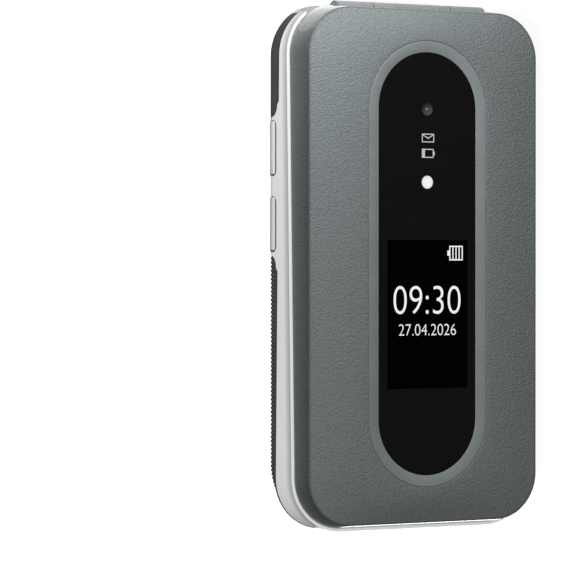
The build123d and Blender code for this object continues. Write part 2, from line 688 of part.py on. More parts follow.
def under_board(size, x, y, drop=0):
    """Block that hangs on the underside of the main board, or lower by a drop."""
    width, length, height = size
    high = BOARD_LOW - drop
    across = (x - width / 2, x + width / 2)
    along = (y - length / 2, y + length / 2)
    return PARTING * block(across, along, (high - height, high))


def shield_cans():
    return group(mirrored_pair(under_board(CAN_SIZE, CAN_X, CAN_Y)))


def card_holder():
    """Holder for the network card, with its slot open towards the battery bay."""
    width, length, height = CARD_SIZE
    slot_size = (width - 2 * CARD_SIDE, length, CARD_SLOT)
    slot = under_board(slot_size, 0, CARD_Y - CARD_SIDE, (height - CARD_SLOT) / 2)
    return under_board(CARD_SIZE, 0, CARD_Y) - slot


def microphone():
    return under_board(MICROPHONE_SIZE, MICROPHONE_X, MICROPHONE_Y)


def battery_contacts():
    """Contact block at the hinge end of the battery bay, with its spring blades."""
    width, length = CONTACT_SIZE
    start = BAY_END + CONTACT_GAP
    housing = block((-width / 2, width / 2), (start, start + length), (CONTACT_LOW, CREASE_HEIGHT))
    housing = housing & slab(-BEYOND, BOARD_LOW)
    for index in range(CONTACT_BLADES):
        x = (index - (CONTACT_BLADES - 1) / 2) * CONTACT_BLADE_PITCH
        half = CONTACT_BLADE_WIDTH / 2
        blade_y = (BAY_END - BATTERY_CLEARANCE + CONTACT_GAP, start + CONTACT_GAP)
        housing += block((x - half, x + half), blade_y, (CONTACT_LOW + half, BAY_TOP - half))
    return housing


def contact_pocket():
    """Room in the tray for the contact block."""
    width, length = CONTACT_SIZE
    half = width / 2 + FIT
    end = BAY_END + CONTACT_GAP + length + FIT
    return block((-half, half), (BAY_END - FIT, end), (CONTACT_LOW - FIT, BEYOND))


def usb_outline(grow, y_start, y_end):
    """Flat oval of the charging socket, run along the phone."""
    outline = SlotOverall(USB_WIDTH + 2 * grow, USB_HEIGHT + 2 * grow)
    face = Plane.XZ * Pos(0, USB_Z) * outline
    return Pos(0, y_start, 0) * extrude(face, -(y_end - y_start))


def charging_socket():
    """Metal shell of the charging socket with its tongue."""
    start = -HALF_LENGTH + USB_RECESS
    end = start + USB_DEPTH
    shell = usb_outline(0, start, end)
    shell -= usb_outline(-USB_WALL, start - PAST, end - 2 * USB_WALL)
    width, length, height = USB_TONGUE
    along = (end - 2 * USB_WALL - length, end - USB_WALL)
    tongue = block((-width / 2, width / 2), along, (USB_Z - height / 2, USB_Z + height / 2))
    return shell + tongue


def headset_jack():
    """Headset jack: a body with a round nose in the end wall and a blind bore."""
    width, length, height = JACK_BODY
    nose_start = -HALF_LENGTH + JACK_RECESS
    body_start = nose_start + JACK_NOSE
    body = block(
        (JACK_X - width / 2, JACK_X + width / 2),
        (body_start, body_start + length),
        (JACK_Z - height / 2, JACK_Z + height / 2),
    )
    nose_place = Location((JACK_X, nose_start + JACK_NOSE / 2, JACK_Z), (90, 0, 0))
    body += nose_place * Cylinder(JACK_NOSE_RADIUS, JACK_NOSE)
    bore_place = Location((JACK_X, nose_start + JACK_BORE_LENGTH / 2, JACK_Z), (90, 0, 0))
    return body - bore_place * Cylinder(JACK_BORE_RADIUS, JACK_BORE_LENGTH)


def jack_pocket():
    """Room in the frame's wall for the jack's body."""
    width, length, height = JACK_BODY
    half = width / 2 + KEY_CLEARANCE
    end = -HALF_LENGTH + JACK_RECESS + JACK_NOSE + length + KEY_CLEARANCE
    start = -HALF_LENGTH + JACK_RECESS + JACK_NOSE - SEAT_GAP
    reach = height / 2 + KEY_CLEARANCE
    return block((JACK_X - half, JACK_X + half), (start, end), (JACK_Z - reach, JACK_Z + reach))


def antenna_block(grow):
    """Antenna carrier's block under the sockets, or its room when grown."""
    width, length, top = ANTENNA_POCKET
    half = width / 2 - ANTENNA_CLEARANCE + grow
    reach = length / 2 - ANTENNA_CLEARANCE + grow
    high = top - ANTENNA_CLEARANCE + grow
    return block((-half, half), (ANTENNA_Y - reach, ANTENNA_Y + reach), (TRAY_FLOOR - grow, high))


def rear_housing():
    """Tray behind the keypad, and the smooth part of the back beside the hinge."""
    skin = base_envelope() - silver_region(SEAM_GAP)
    upper = skin & behind(SPLIT_Y + SEAM_GAP)
    upper -= outline_prism(TRAY_INSET, COVER_WALL, CREASE_HEIGHT) & behind(SPLIT_Y + HOUSING_WALL)
    hinge_end = skin & behind(RECESS_START - HOUSING_WALL) & before(AXIS_Y)
    upper += hinge_end & outline_prism(TRAY_INSET, 0, TRAY_TOP)
    tray = outline_prism(TRAY_INSET + FIT, TRAY_FLOOR, TRAY_TOP)
    tray = fillet(tray.faces().sort_by(Axis.Z)[0].edges(), BACK_ROUNDING - TRAY_INSET - FIT)
    tray = tray & before(HINGE_BLOCK_START - FIT)
    housing = upper + tray
    housing -= bay_room()
    chamber = outline_prism(TRAY_INSET + HOUSING_WALL, COVER_WALL, CHAMBER_TOP)
    housing -= chamber & behind(SPLIT_Y + HOUSING_WALL) & before(CHAMBER_END)
    housing -= antenna_block(ANTENNA_CLEARANCE)
    pocket_half = SOCKET_POCKET_WIDTH / 2
    housing -= block((-pocket_half, pocket_half), (-BEYOND, SOCKET_POCKET_END), (SOCKET_SHELF, BEYOND))
    housing -= switch_pocket()
    housing -= contact_pocket()
    width, length, height = CARD_SIZE
    grown = (width + 2 * CARD_CLEARANCE, length + 2 * CARD_CLEARANCE, height + BAY_TOP)
    above_bay = block((-BEYOND, BEYOND), (-BEYOND, BEYOND), (BAY_TOP - FIT, BEYOND))
    housing -= under_board(grown, 0, CARD_Y) & above_bay
    for x, y in deck_screw_places():
        housing -= post(x, y, SCREW_HEAD_RADIUS + SCREW_CLEARANCE, 0, BASE_SCREW_SEAT)
        housing -= post(x, y, SCREW_RADIUS + SCREW_CLEARANCE, 0, BEYOND)
    housing -= lid_sweep()
    housing -= barrel_pocket()
    housing -= base_arm(SEAT_GAP)
    for index in range(SPEAKER_SLOTS):
        x = (index - (SPEAKER_SLOTS - 1) / 2) * SPEAKER_SLOT_PITCH
        slot = SlotOverall(SPEAKER_SLOT_SIZE[1], SPEAKER_SLOT_SIZE[0], rotation=90)
        housing -= Pos(x, SPEAKER_Y, -PAST) * extrude(slot, COVER_WALL + 2 * PAST)
    for room in hook_rooms():
        housing -= room
    return housing


def bay_room():
    """Battery bay, open towards the cover."""
    half = BAY_WIDTH / 2
    return block((-half, half), (BAY_START, BAY_END), (0, BAY_TOP))


def battery():
    """Battery pack with rounded upright edges."""
    half = BAY_WIDTH / 2 - BATTERY_CLEARANCE
    high = BAY_TOP - SEAM_GAP
    pack = block(
        (-half, half),
        (BAY_START + BATTERY_CLEARANCE, BAY_END - BATTERY_CLEARANCE),
        (high - BATTERY_THICKNESS, high),
    )
    return fillet(pack.edges().filter_by(Axis.Z), BATTERY_EDGE)


def antenna_carrier():
    return antenna_block(0)


def loudspeaker():
    """Loudspeaker over the slots in the smooth part of the back."""
    width, length, height = SPEAKER_SIZE
    low = COVER_WALL + SEAT_GAP
    along = (SPEAKER_Y - length / 2, SPEAKER_Y + length / 2)
    speaker = block((-width / 2, width / 2), along, (low, low + height))
    return fillet(speaker.edges().filter_by(Axis.Z), BATTERY_EDGE)


def vibration_motor():
    low = COVER_WALL + SEAT_GAP
    return post(MOTOR_X, MOTOR_Y, MOTOR_RADIUS, low, low + MOTOR_HEIGHT)


def base_screws():
    """Four screws from the tray into the deck's posts."""
    screws = []
    for x, y in deck_screw_places():
        head = post(x, y, SCREW_HEAD_RADIUS, BASE_SCREW_SEAT - SCREW_HEAD_HEIGHT, BASE_SCREW_SEAT)
        shank = post(x, y, SCREW_RADIUS, BASE_SCREW_SEAT, BASE_SCREW_SEAT + BASE_SCREW_LENGTH)
        screws.append(head + shank)
    return group(screws)


# Battery cover


def battery_cover():
    """Dark cover over the battery, open at the boss, with hooks that slide under the tray's skin."""
    cover = base_envelope() - silver_region(SEAM_GAP)
    cover = cover & before(SPLIT_Y - SEAM_GAP)
    inside = outline_prism(COVER_WALL, COVER_PANEL, CREASE_HEIGHT)
    inside_edges = inside.faces().sort_by(Axis.Z)[0].edges()
    cover -= fillet(inside_edges, BACK_ROUNDING - COVER_WALL)
    for x, y in hook_places():
        width, length, height = HOOK_SIZE
        across = (x - width / 2, x + width / 2)
        front = y + length / 2
        high = COVER_PANEL + height
        cover += block(across, (y - length / 2, front), (COVER_PANEL, high))
        cover += block(across, (front, front + HOOK_LIP), (high - HOOK_LIP_THICKNESS, high))
    return cover


def hook_places():
    return [(side * HOOK_X, y) for y in HOOK_YS for side in (-1, 1)]


def hook_rooms():
    """Slots and rooms in the tray in which the cover's hooks slide."""
    rooms = []
    width, length, height = HOOK_SIZE
    half = width / 2 + HOOK_SLOT_CLEARANCE
    high = TRAY_FLOOR + height
    lip_low = COVER_PANEL + height - HOOK_LIP_THICKNESS - HOOK_LIP_CLEARANCE
    for x, y in hook_places():
        across = (x - half, x + half)
        back = y - length / 2 - COVER_TRAVEL - HOOK_SLOT_CLEARANCE
        front = y + length / 2 + HOOK_SLOT_CLEARANCE
        rooms.append(block(across, (back, front), (0, high)))
        rooms.append(block(across, (back, front + HOOK_LIP), (lip_low, high + HOOK_LIP_CLEARANCE)))
    return rooms


# Hinge


def base_hinge_knuckle():
    """Middle knuckle of the hinge, keyed into the frame and bored for the spring."""
    knuckle = axle(BARREL_RADIUS, -BASE_KNUCKLE_HALF, BASE_KNUCKLE_HALF) + base_arm(0)
    knuckle -= axle(CAM_RADIUS, -BASE_KNUCKLE_HALF - PAST, BASE_KNUCKLE_HALF - KNUCKLE_CHEEK)
    return knuckle - axle(PIN_RADIUS + PIN_SEAT_CLEARANCE, -BASE_KNUCKLE_HALF, BASE_KNUCKLE_HALF + PAST)


def hinge_pin():
    return axle(PIN_RADIUS, -KNUCKLE_END + PIN_END_GAP, KNUCKLE_END - PIN_END_GAP)


def hinge_spring():
    """Sleeve that stands for the closed coils of the hinge spring."""
    outer = CAM_RADIUS - SEAT_GAP
    sleeve = axle(outer, -BASE_KNUCKLE_HALF, BASE_KNUCKLE_HALF - KNUCKLE_CHEEK - SEAT_GAP)
    return sleeve - axle(outer - SPRING_WALL, -BASE_KNUCKLE_HALF - PAST, BASE_KNUCKLE_HALF)


def hinge_cam():
    """Cam in the lid's left knuckle that the spring presses against."""
    cam = axle(CAM_RADIUS - SEAT_GAP, -CAM_END, -BASE_KNUCKLE_HALF - KNUCKLE_GAP)
    return cam - axle(PIN_RADIUS + PIN_CLEARANCE, -CAM_END - PAST, -BASE_KNUCKLE_HALF)


def lid_hinge_knuckles():
    """Outer knuckles of the hinge with the arms that carry the lid."""
    start = BASE_KNUCKLE_HALF + KNUCKLE_GAP
    knuckles = []
    for side in (-1, 1):
        ends = sorted((side * start, side * KNUCKLE_END))
        knuckle = axle(BARREL_RADIUS, *ends)
        arm_low = BARREL_RADIUS - LID_ARM_THICKNESS
        arm = block(ends, (-LID_ARM_REACH, 0), (arm_low, BARREL_RADIUS))
        knuckle += Location((0, AXIS_Y, AXIS_Z), (-PARTING_TILT, 0, 0)) * arm
        knuckle -= axle(PIN_RADIUS + PIN_CLEARANCE, -KNUCKLE_END - PAST, KNUCKLE_END + PAST)
        knuckles.append(knuckle)
    knuckles[0] -= axle(CAM_RADIUS, -CAM_END, -start + PAST)
    return group(knuckles)


# Lid


def lid_outer_shell():
    """Textured shell: drafted sides, pillowed front, opening for the bezel and window."""
    shell = lid_band(0, LID_GAP) + pillow()
    cavity = lid_band(LID_WALL, -LID_GAP)
    shell -= cavity & block((-BEYOND, BEYOND), (-BEYOND, BEYOND), (0, LID_ROOF))
    shell -= stadium(WINDOW_WIDTH + 2 * BEZEL_WIDTH + 2 * BEZEL_CLEARANCE, WINDOW_LOW, BEYOND)
    shell -= stadium(WINDOW_WIDTH - 2 * WINDOW_LAND, 0, BEYOND)
    post_low = INNER_FACE + LID_BOSS_HEIGHT + SEAT_GAP
    for x, y in lid_screw_places():
        shell += post(x, y, LID_POST_RADIUS, 0, LID_ROOF + SEAT_GAP) & slab(post_low, BEYOND)
    for x, y in lid_screw_places():
        shell -= lid_screw_bore(x, y, SCREW_RADIUS + THREAD_CLEARANCE, 0, LID_SCREW_DEPTH + FIT)
    return shell - barrel_pocket()


def lid_screw_bore(x, y, radius, low, high):
    """Cylinder at a lid screw between two heights above the parting plane."""
    return PARTING * post(x, y, radius, low, high)


def window_bezel():
    """Smooth ring between the textured shell and the black window."""
    outer = WINDOW_WIDTH + 2 * BEZEL_WIDTH
    ring = stadium(outer, WINDOW_LOW, BEZEL_OUTER_HEIGHT) - stadium(WINDOW_WIDTH, 0, BEYOND)
    inner_outline = SlotOverall(WINDOW_LENGTH, WINDOW_WIDTH, rotation=90)
    outer_outline = SlotOverall(WINDOW_LENGTH + 2 * BEZEL_WIDTH, outer, rotation=90)
    dish = loft(
        [
            Pos(0, WINDOW_SHIFT, BEZEL_INNER_HEIGHT) * inner_outline,
            Pos(0, WINDOW_SHIFT, BEZEL_OUTER_HEIGHT) * outer_outline,
        ],
        ruled=True,
    )
    return ring - dish


def outer_window():
    """Black window, with a hole for the camera's lens and one for the flash."""
    pane = stadium(WINDOW_WIDTH - 2 * WINDOW_CLEARANCE, WINDOW_LOW, GLASS_HEIGHT)
    pane -= post(0, CAMERA_Y, CAMERA_LENS_RADIUS, 0, BEYOND)
    return pane - post(0, FLASH_Y, FLASH_RADIUS, 0, BEYOND)


def window_lens(y, radius):
    """Lens that fills a hole of the window."""
    return post(0, y, radius - LENS_CLEARANCE, WINDOW_LOW, GLASS_HEIGHT - LENS_RECESS)


def board_height():
    """Underside of the lid's board."""
    return WINDOW_LOW - OUTER_DISPLAY_THICKNESS - SEAT_GAP - LID_BOARD_THICKNESS - SEAT_GAP


def outer_display():
    half = OUTER_DISPLAY_WIDTH / 2
    reach = OUTER_DISPLAY_LENGTH / 2
    high = WINDOW_LOW - SEAT_GAP
    along = (OUTER_DISPLAY_Y - reach, OUTER_DISPLAY_Y + reach)
    return block((-half, half), along, (high - OUTER_DISPLAY_THICKNESS, high))


def camera_module():
    """Camera body and barrel, behind the window."""
    barrel_low = WINDOW_LOW - CAMERA_BARREL
    half = CAMERA_SIZE / 2
    along = (CAMERA_Y - half, CAMERA_Y + half)
    body = block((-half, half), along, (WINDOW_LOW - CAMERA_DEPTH, barrel_low))
    return body + post(0, CAMERA_Y, CAMERA_BARREL_RADIUS, barrel_low, WINDOW_LOW - SEAT_GAP)


def lid_board():
    """Circuit board of the lid, with room for the camera's barrel."""
    half = LID_BOARD_WIDTH / 2
    low = board_height()
    board = block((-half, half), (LID_BOARD_START, LID_BOARD_END), (low, low + LID_BOARD_THICKNESS))
    return board - post(0, CAMERA_Y, CAMERA_BARREL_RADIUS + KEY_CLEARANCE, 0, BEYOND)


def display_opening(grow, low, high):
    """Rounded block of the main display's window, between heights above the parting plane."""
    middle = (DISPLAY_WINDOW_START + DISPLAY_WINDOW_END) / 2
    outline = RectangleRounded(
        DISPLAY_WINDOW_WIDTH + 2 * grow,
        DISPLAY_WINDOW_END - DISPLAY_WINDOW_START + 2 * grow,
        DISPLAY_WINDOW_RADIUS + grow,
    )
    return PARTING * Pos(0, middle, low) * extrude(outline, high - low)


def lid_inner_frame():
    """Dark frame on the lid's inner face, with a rim, screw bosses and the display's seat."""
    plate_top = INNER_FACE + INNER_PLATE
    outside = lid_band(LID_WALL + FIT, 0) & before(INNER_PLATE_END)
    inside = lid_band(LID_WALL + FIT + INNER_RIM_WALL, 0)
    frame = outside & slab(INNER_FACE, plate_top + INNER_RIM)
    frame -= inside & slab(plate_top, BEYOND)
    for x, y in lid_screw_places():
        frame += lid_screw_bore(x, y, LID_BOSS_RADIUS, INNER_FACE, INNER_FACE + LID_BOSS_HEIGHT) & outside
    glass_top = INNER_FACE + DISPLAY_WINDOW_THICKNESS + SEAT_GAP
    frame -= display_opening(FIT, 0, glass_top)
    frame -= display_opening(-DISPLAY_STEP, 0, BEYOND)
    for x, y in lid_screw_places():
        frame -= lid_screw_bore(x, y, BUMPER_RADIUS + FIT, 0, INNER_FACE + BUMPER_SEAT)
        frame -= lid_screw_bore(x, y, SCREW_HEAD_RADIUS + SCREW_CLEARANCE, 0, lid_screw_seat())
        frame -= lid_screw_bore(x, y, SCREW_RADIUS + SCREW_CLEARANCE, 0, BEYOND)
    slot = SlotOverall(EARPIECE_SLOT_WIDTH, EARPIECE_SLOT_LENGTH)
    frame -= PARTING * Pos(0, EARPIECE_Y, 0) * extrude(slot, LID_BOSS_HEIGHT)
    return frame


def lid_screw_seat():
    return INNER_FACE + BUMPER_SEAT + SCREW_HEAD_HEIGHT + SEAT_GAP


def lid_screws():
    """Four screws from the inner frame into the outer shell."""
    seat = lid_screw_seat()
    screws = []
    for x, y in lid_screw_places():
        head = lid_screw_bore(x, y, SCREW_HEAD_RADIUS, seat - SCREW_HEAD_HEIGHT, seat)
        screws.append(head + lid_screw_bore(x, y, SCREW_RADIUS, seat, LID_SCREW_DEPTH))
    return group(screws)


def lid_bumpers():
    """Rubber pads over the lid screws that rest on the keypad deck."""
    pads = []
    for x, y in lid_screw_places():
        high = INNER_FACE + BUMPER_SEAT - LAYER_GAP
        pads.append(lid_screw_bore(x, y, BUMPER_RADIUS, DECK_TOP, high))
    return group(pads)


def main_display_window():
    return display_opening(0, INNER_FACE, INNER_FACE + DISPLAY_WINDOW_THICKNESS)


def main_display():
    """Main display module behind its window."""
    low = INNER_FACE + DISPLAY_WINDOW_THICKNESS + SEAT_GAP
    return display_opening(-DISPLAY_STEP - FIT, low, low + DISPLAY_THICKNESS)


def on_inner_plate(size, x, y):
    """Block that lies on the inner frame's plate."""
    width, length, height = size
    low = INNER_FACE + INNER_PLATE + LAYER_GAP
    across = (x - width / 2, x + width / 2)
    along = (y - length / 2, y + length / 2)
    return PARTING * block(across, along, (low, low + height))


def earpiece_receiver():
    return on_inner_plate((EARPIECE_WIDTH, EARPIECE_LENGTH, EARPIECE_THICKNESS), 0, EARPIECE_Y)


def lid_magnet():
    return on_inner_plate(MAGNET_SIZE, MAGNET_X, MAGNET_Y)


def key_nodes():
    """Every key of the keypad under its node name."""
    nodes = {}
    for name, outline in key_outlines().items():
        if name == "navigation_rocker":
            nodes[name] = key(outline, ROCKER_BORE, ROCKER_DROP)
        else:
            nodes[name] = key(outline, 0, 0)
    nodes["ok_key"] = ok_key()
    return nodes


def ok_key():
    """Centre key inside the rocker's bore."""
    centre = Pos(0, ROCKER_Y) * Circle(OK_RADIUS)
    cap = Pos(0, 0, FLANGE_LOW) * extrude(centre, DECK_TOP + KEY_PROUD - FLANGE_LOW)
    return PARTING * fillet(cap.faces().sort_by(Axis.Z)[-1].edges(), KEY_EDGE)


def all_nodes():
    nodes = {
        "base_frame": base_frame(),
        "keypad_deck": keypad_deck(),
        "rear_housing": rear_housing(),
        "main_board": main_board(),
        "shield_cans": shield_cans(),
        "dome_sheet": dome_sheet(),
        "keypad_mat": keypad_mat(),
        "battery": battery(),
        "battery_contacts": battery_contacts(),
        "charging_socket": charging_socket(),
        "headset_jack": headset_jack(),
        "loudspeaker": loudspeaker(),
        "microphone": microphone(),
        "vibration_motor": vibration_motor(),
        "card_holder": card_holder(),
        "antenna_carrier": antenna_carrier(),
        "side_key_switches": side_key_switches(),
        "base_screws": base_screws(),
        "base_hinge_knuckle": base_hinge_knuckle(),
        "hinge_pin": hinge_pin(),
        "hinge_spring": hinge_spring(),
        "battery_cover": battery_cover(),
        "volume_up_key": side_key(SIDE_KEY_UPPER_Y),
        "volume_down_key": side_key(SIDE_KEY_LOWER_Y),
        "hinge_cam": hinge_cam(),
        "lid_hinge_knuckles": lid_hinge_knuckles(),
        "lid_outer_shell": lid_outer_shell(),
        "window_bezel": window_bezel(),
        "outer_window": outer_window(),
        "outer_display": outer_display(),
        "camera_module": camera_module(),
        "camera_lens": window_lens(CAMERA_Y, CAMERA_LENS_RADIUS),
        "flash_lens": window_lens(FLASH_Y, FLASH_RADIUS),
        "lid_board": lid_board(),
        "lid_inner_frame": lid_inner_frame(),
        "lid_screws": lid_screws(),
        "lid_bumpers": lid_bumpers(),
        "lid_magnet": lid_magnet(),
        "main_display_window": main_display_window(),
        "main_display": main_display(),
        "earpiece_receiver": earpiece_receiver(),
    }
    nodes.update(key_nodes())
    return nodes


os.makedirs("parts", exist_ok=True)
for node_name, node_shape in all_nodes().items():
    export_step(node_shape, f"parts/{node_name}.step")
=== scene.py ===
import math

import bmesh
import bpy
from mathutils import Matrix, Vector


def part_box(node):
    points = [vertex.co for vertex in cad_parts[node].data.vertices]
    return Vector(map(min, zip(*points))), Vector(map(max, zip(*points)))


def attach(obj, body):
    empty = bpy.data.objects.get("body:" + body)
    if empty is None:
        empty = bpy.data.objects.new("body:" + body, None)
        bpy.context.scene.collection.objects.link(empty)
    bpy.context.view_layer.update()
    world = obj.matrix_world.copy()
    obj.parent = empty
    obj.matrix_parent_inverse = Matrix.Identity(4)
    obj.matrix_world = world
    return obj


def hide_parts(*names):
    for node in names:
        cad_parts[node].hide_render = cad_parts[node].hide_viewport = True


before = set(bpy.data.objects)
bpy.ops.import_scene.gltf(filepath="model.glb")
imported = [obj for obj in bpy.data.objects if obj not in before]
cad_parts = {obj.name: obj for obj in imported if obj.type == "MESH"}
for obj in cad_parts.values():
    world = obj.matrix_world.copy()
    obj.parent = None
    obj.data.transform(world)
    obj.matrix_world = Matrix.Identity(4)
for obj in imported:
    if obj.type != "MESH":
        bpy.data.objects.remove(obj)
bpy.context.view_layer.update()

# Clamshell phone, closed and lying on its back. Metres, in the frame of the part:
# X across the phone, +Y towards the hinge end, +Z out of the lid's front.
MM = 0.001
X_AXIS, Y_AXIS, Z_AXIS = (1.0, 0.0, 0.0), (0.0, 1.0, 0.0), (0.0, 0.0, 1.0)

# Camera, at the photograph's viewing angle
CAMERA_PLACE = Vector((-301.9, 0.49, 527.5)) * MM
CAMERA_SWING = math.radians(27.926)
CAMERA_PITCH = math.radians(0.494)
CAMERA_LENS = 180.3
CAMERA_CLIP = (0.05, 20.0)

# Studio
FLOOR_REACH = 6.0
FLOOR_COLOUR = (0.80, 0.80, 0.80)
FLOOR_GLOW = 0.85
FLOOR_GAP = 0.05 * MM
CARD_HEIGHT = 0.1 * MM
WORLD_LIGHT = 0.13
WHITE = (1.0, 1.0, 1.0, 1.0)

# Outlines of the phone
BODY_WIDTH = 56.8 * MM
BODY_LENGTH = 107.8 * MM
BODY_RADIUS = 11.0 * MM
BACK_ROUNDING = 4.6 * MM
PARTING_HEIGHT = 11.56 * MM
PARTING_TILT = math.radians(1.38)
SEAM_HEIGHT = 5.85 * MM
SEAM_TILT = math.radians(0.97)
SEAM_GAP = 0.1 * MM

# Points round an outline: on each corner arc, each long side and each short side
ARC_STEPS = 26
LONG_STEPS = 110
SHORT_STEPS = 44

# Lid shell
LEDGE = 0.55 * MM
LID_GAP = 0.15 * MM
LID_WALL = 1.5 * MM
LID_ROOF = 16.1 * MM
CREASE_WIDTH = 53.92 * MM
CREASE_LENGTH = 104.86 * MM
CREASE_RADIUS = 9.5 * MM
CREASE_HEIGHT = 17.27 * MM
CREASE_ROUNDING = 0.28 * MM
CREASE_STEPS = 6
PILLOW_START = 0.1
PILLOW_STEPS = 14
RIM_ROUNDING = 0.15 * MM
RIM_STEPS = 3
BAND_SHARES = (0.3, 0.6)

# Hinge barrel
BARREL_RADIUS = 2.9 * MM
BARREL_HALF = 17.7 * MM
# Painted shade runs along the barrel past this line, and a painted highlight lies on its left end
BARREL_LINE = 54.0 * MM
BARREL_END_HIGHLIGHT = (0.40, 0.41, 0.415)

# Window and bezel
WINDOW_WIDTH = 23.0 * MM
WINDOW_LENGTH = 86.4 * MM
WINDOW_SHIFT = 0.5 * MM
WINDOW_LAND = 0.9 * MM
WINDOW_THICKNESS = 1.1 * MM
GLASS_TOP = 18.3 * MM
BEZEL_WIDTH = 2.3 * MM
BEZEL_GAP = 0.05 * MM
BEZEL_TOP = 18.7 * MM
BEZEL_LOW_EDGE = 18.4 * MM
BEZEL_ROUNDING = 0.14 * MM
BEZEL_STEPS = 4

# Outer display: the dark field, the figures and the small signs on it. A box is its low
# corner and its high corner, a terminal its reach and its width.
DISPLAY_FIELD = ((-9.44 * MM, -24.9 * MM), (9.54 * MM, 5.38 * MM))
MARK_RISE = 0.02 * MM
MARK_THICKNESS = 0.01 * MM
FIGURE_THINNING = 0.012
CLOCK_TEXT = "09:30"
CLOCK_BOX = ((-7.99 * MM, -9.7 * MM), (7.90 * MM, -3.98 * MM))
DATE_TEXT = "27.04.2026"
DATE_BOX = ((-6.75 * MM, -14.08 * MM), (6.8 * MM, -11.76 * MM))
BATTERY_SIGN = ((5.2 * MM, 1.22 * MM), (8.42 * MM, 4.24 * MM))
BATTERY_SIGN_LINE = 0.26 * MM
BATTERY_SIGN_SLOTS = 4
BATTERY_SIGN_TERMINAL = (0.46 * MM, 1.1 * MM)
ENVELOPE_BOX = ((-1.33 * MM, 25.33 * MM), (1.57 * MM, 27.11 * MM))
ENVELOPE_LINE = 0.2 * MM
ENVELOPE_FLAP = 0.62
ENVELOPE_FOLD_LINE = 1.4
CHARGE_BOX = ((-1.33 * MM, 22.17 * MM), (1.45 * MM, 24.01 * MM))
CHARGE_LINE = 0.2 * MM
CHARGE_FILL = 0.72 * MM
CHARGE_TERMINAL = (0.26 * MM, 0.8 * MM)

# Camera eye: radius and height of each ring, and colours at shares of its reach
EYE_PROFILE = (
    (1.38 * MM, 0.0), (1.18 * MM, 0.02 * MM), (1.08 * MM, -0.06 * MM), (0.80 * MM, -0.14 * MM),
    (0.62 * MM, -0.24 * MM), (0.45 * MM, -0.24 * MM), (0.30 * MM, -0.15 * MM),
    (0.14 * MM, -0.12 * MM),
)
EYE_STEPS = 48
EYE_REACH = 1.4 * MM
EYE_RINGS = (
    (0.0, (0.16, 0.16, 0.16)), (0.16, (0.10, 0.10, 0.10)), (0.3, (0.030, 0.030, 0.030)),
    (0.62, (0.040, 0.040, 0.040)), (0.9, (0.010, 0.010, 0.010)),
)

# Light dot: colours at shares of its reach, and how bright it glows
FLASH_REACH = 1.5 * MM
FLASH_RINGS = (
    (0.0, (0.25, 0.25, 0.25)), (0.8, (0.22, 0.22, 0.22)), (0.92, (0.05, 0.05, 0.05)),
)
FLASH_STRENGTH = 2.5

# Key legends, and their heights as shares of the key's length
LEGENDS = {"key_star": "*", "key_hash": "#"}
LEGEND_SHARE = 0.46
STAR_SHARE = 0.3

# Marks on the function keys: bars with their half sizes, and the rocker's arrows
KEY_MARKS = {
    "call_key": ("green", 1.7 * MM, 0.3 * MM),
    "end_key": ("red", 1.7 * MM, 0.3 * MM),
    "soft_key_left": ("dark_ink", 1.3 * MM, 0.22 * MM),
    "soft_key_right": ("dark_ink", 1.3 * MM, 0.22 * MM),
}
ARROW = (0.75 * MM, 0.75 * MM)
ARROW_INSET = 0.7 * MM

# Battery cover and its ribs
RIB_PITCH = 0.85 * MM
RIB_DEPTH = 0.25 * MM
RIB_SAMPLES = 8
RIB_FADE = 3.0 * MM
RIB_FADE_START = 0.75
END_RIBS = 82
EDGE_STEPS = 16
COVER_RADIUS = 13.5 * MM
COVER_END = 30.4 * MM
COVER_THICKNESS = 1.2 * MM
COVER_SHARP = 40
BOSS_START = 2.2 * MM
BOSS_FACE = 24.4 * MM
BOSS_SHOULDER = 2.5 * MM

# Edges sharper than this many degrees stay sharp
SHARP = 30
EYE_SHARP = 60

# Paint: the width over which one colour passes into the next, and the dark strip by the seam
EDGE_BLEND = 0.05 * MM
COVER_GREY = (0.056, 0.055, 0.058)
SEAM_STRIP = 0.7 * MM

# Silver paint: its finish, and depths under the parting plane of its painted shade and of the
# ledge that is left without it
SILVER_FINISH = {"grain": 0.12 * MM, "specular": 0.15}
PAINTED_SHADE_DEPTHS = (2.6 * MM, 0.4 * MM)
LEDGE_DEPTHS = (0.06 * MM, 0.02 * MM)

# Silver paint on the rear housing where it wraps round the hinge
WRAP_RADIUS = 7.55 * MM
WRAP_HALF = 23.9 * MM
WRAP_SILVER = (0.80, 0.80, 0.82)

# Side keys: how far the hidden flange reaches past the key, and the painted highlight and painted
# shadow on its edges, with the distances from the key's top and lower end between which they set
# in
KEY_FLANGE = 0.35 * MM
KEY_HIGHLIGHT = (0.74, 0.74, 0.76)
KEY_HIGHLIGHT_SPAN = (1.5 * MM, 1.2 * MM)
KEY_SHADOW = (0.16, 0.16, 0.17)
KEY_SHADOW_SPAN = (0.6 * MM, 0.45 * MM)
KEY_END_SHADOW_SPAN = (0.25 * MM, 0.4 * MM)

# Lid leather: cells with a warped place, folds across them and pores on them, each with the
# size of its features and the depth of its relief, under a clear coat
SHELL_GREY = (0.128, 0.143, 0.144)
WARP_SIZE = 1.4 * MM
WARP_REACH = 0.5 * MM
CELL_SIZE = 0.5 * MM
CELL_EDGE = 0.75
CELL_DEPTH = 0.05 * MM
FOLD_SIZE = 0.27 * MM
FOLD_STRETCH = (0.6, 1.0, 1.0)
FOLD_DEPTH = 0.13 * MM
FOLD_TONES = (0.88, 1.10)
FOLD_GLOSS = (0.42, 0.56)
PORE_SIZE = 0.22 * MM
PORE_DEPTH = 0.006 * MM
COAT = {"Coat Weight": 1.0, "Coat Roughness": 0.08, "Coat IOR": 1.25}

# Painted shade on the lid's side band: its colour factor, how much of it the foot has, and the
# heights between which it grows and ends
BAND_SHADE = 0.32
BAND_FOOT_SHARE = 0.55
BAND_GROWS = (11.5 * MM, CREASE_HEIGHT - 0.3 * MM)
BAND_ENDS = (CREASE_HEIGHT - 0.05 * MM, CREASE_HEIGHT + 0.1 * MM)

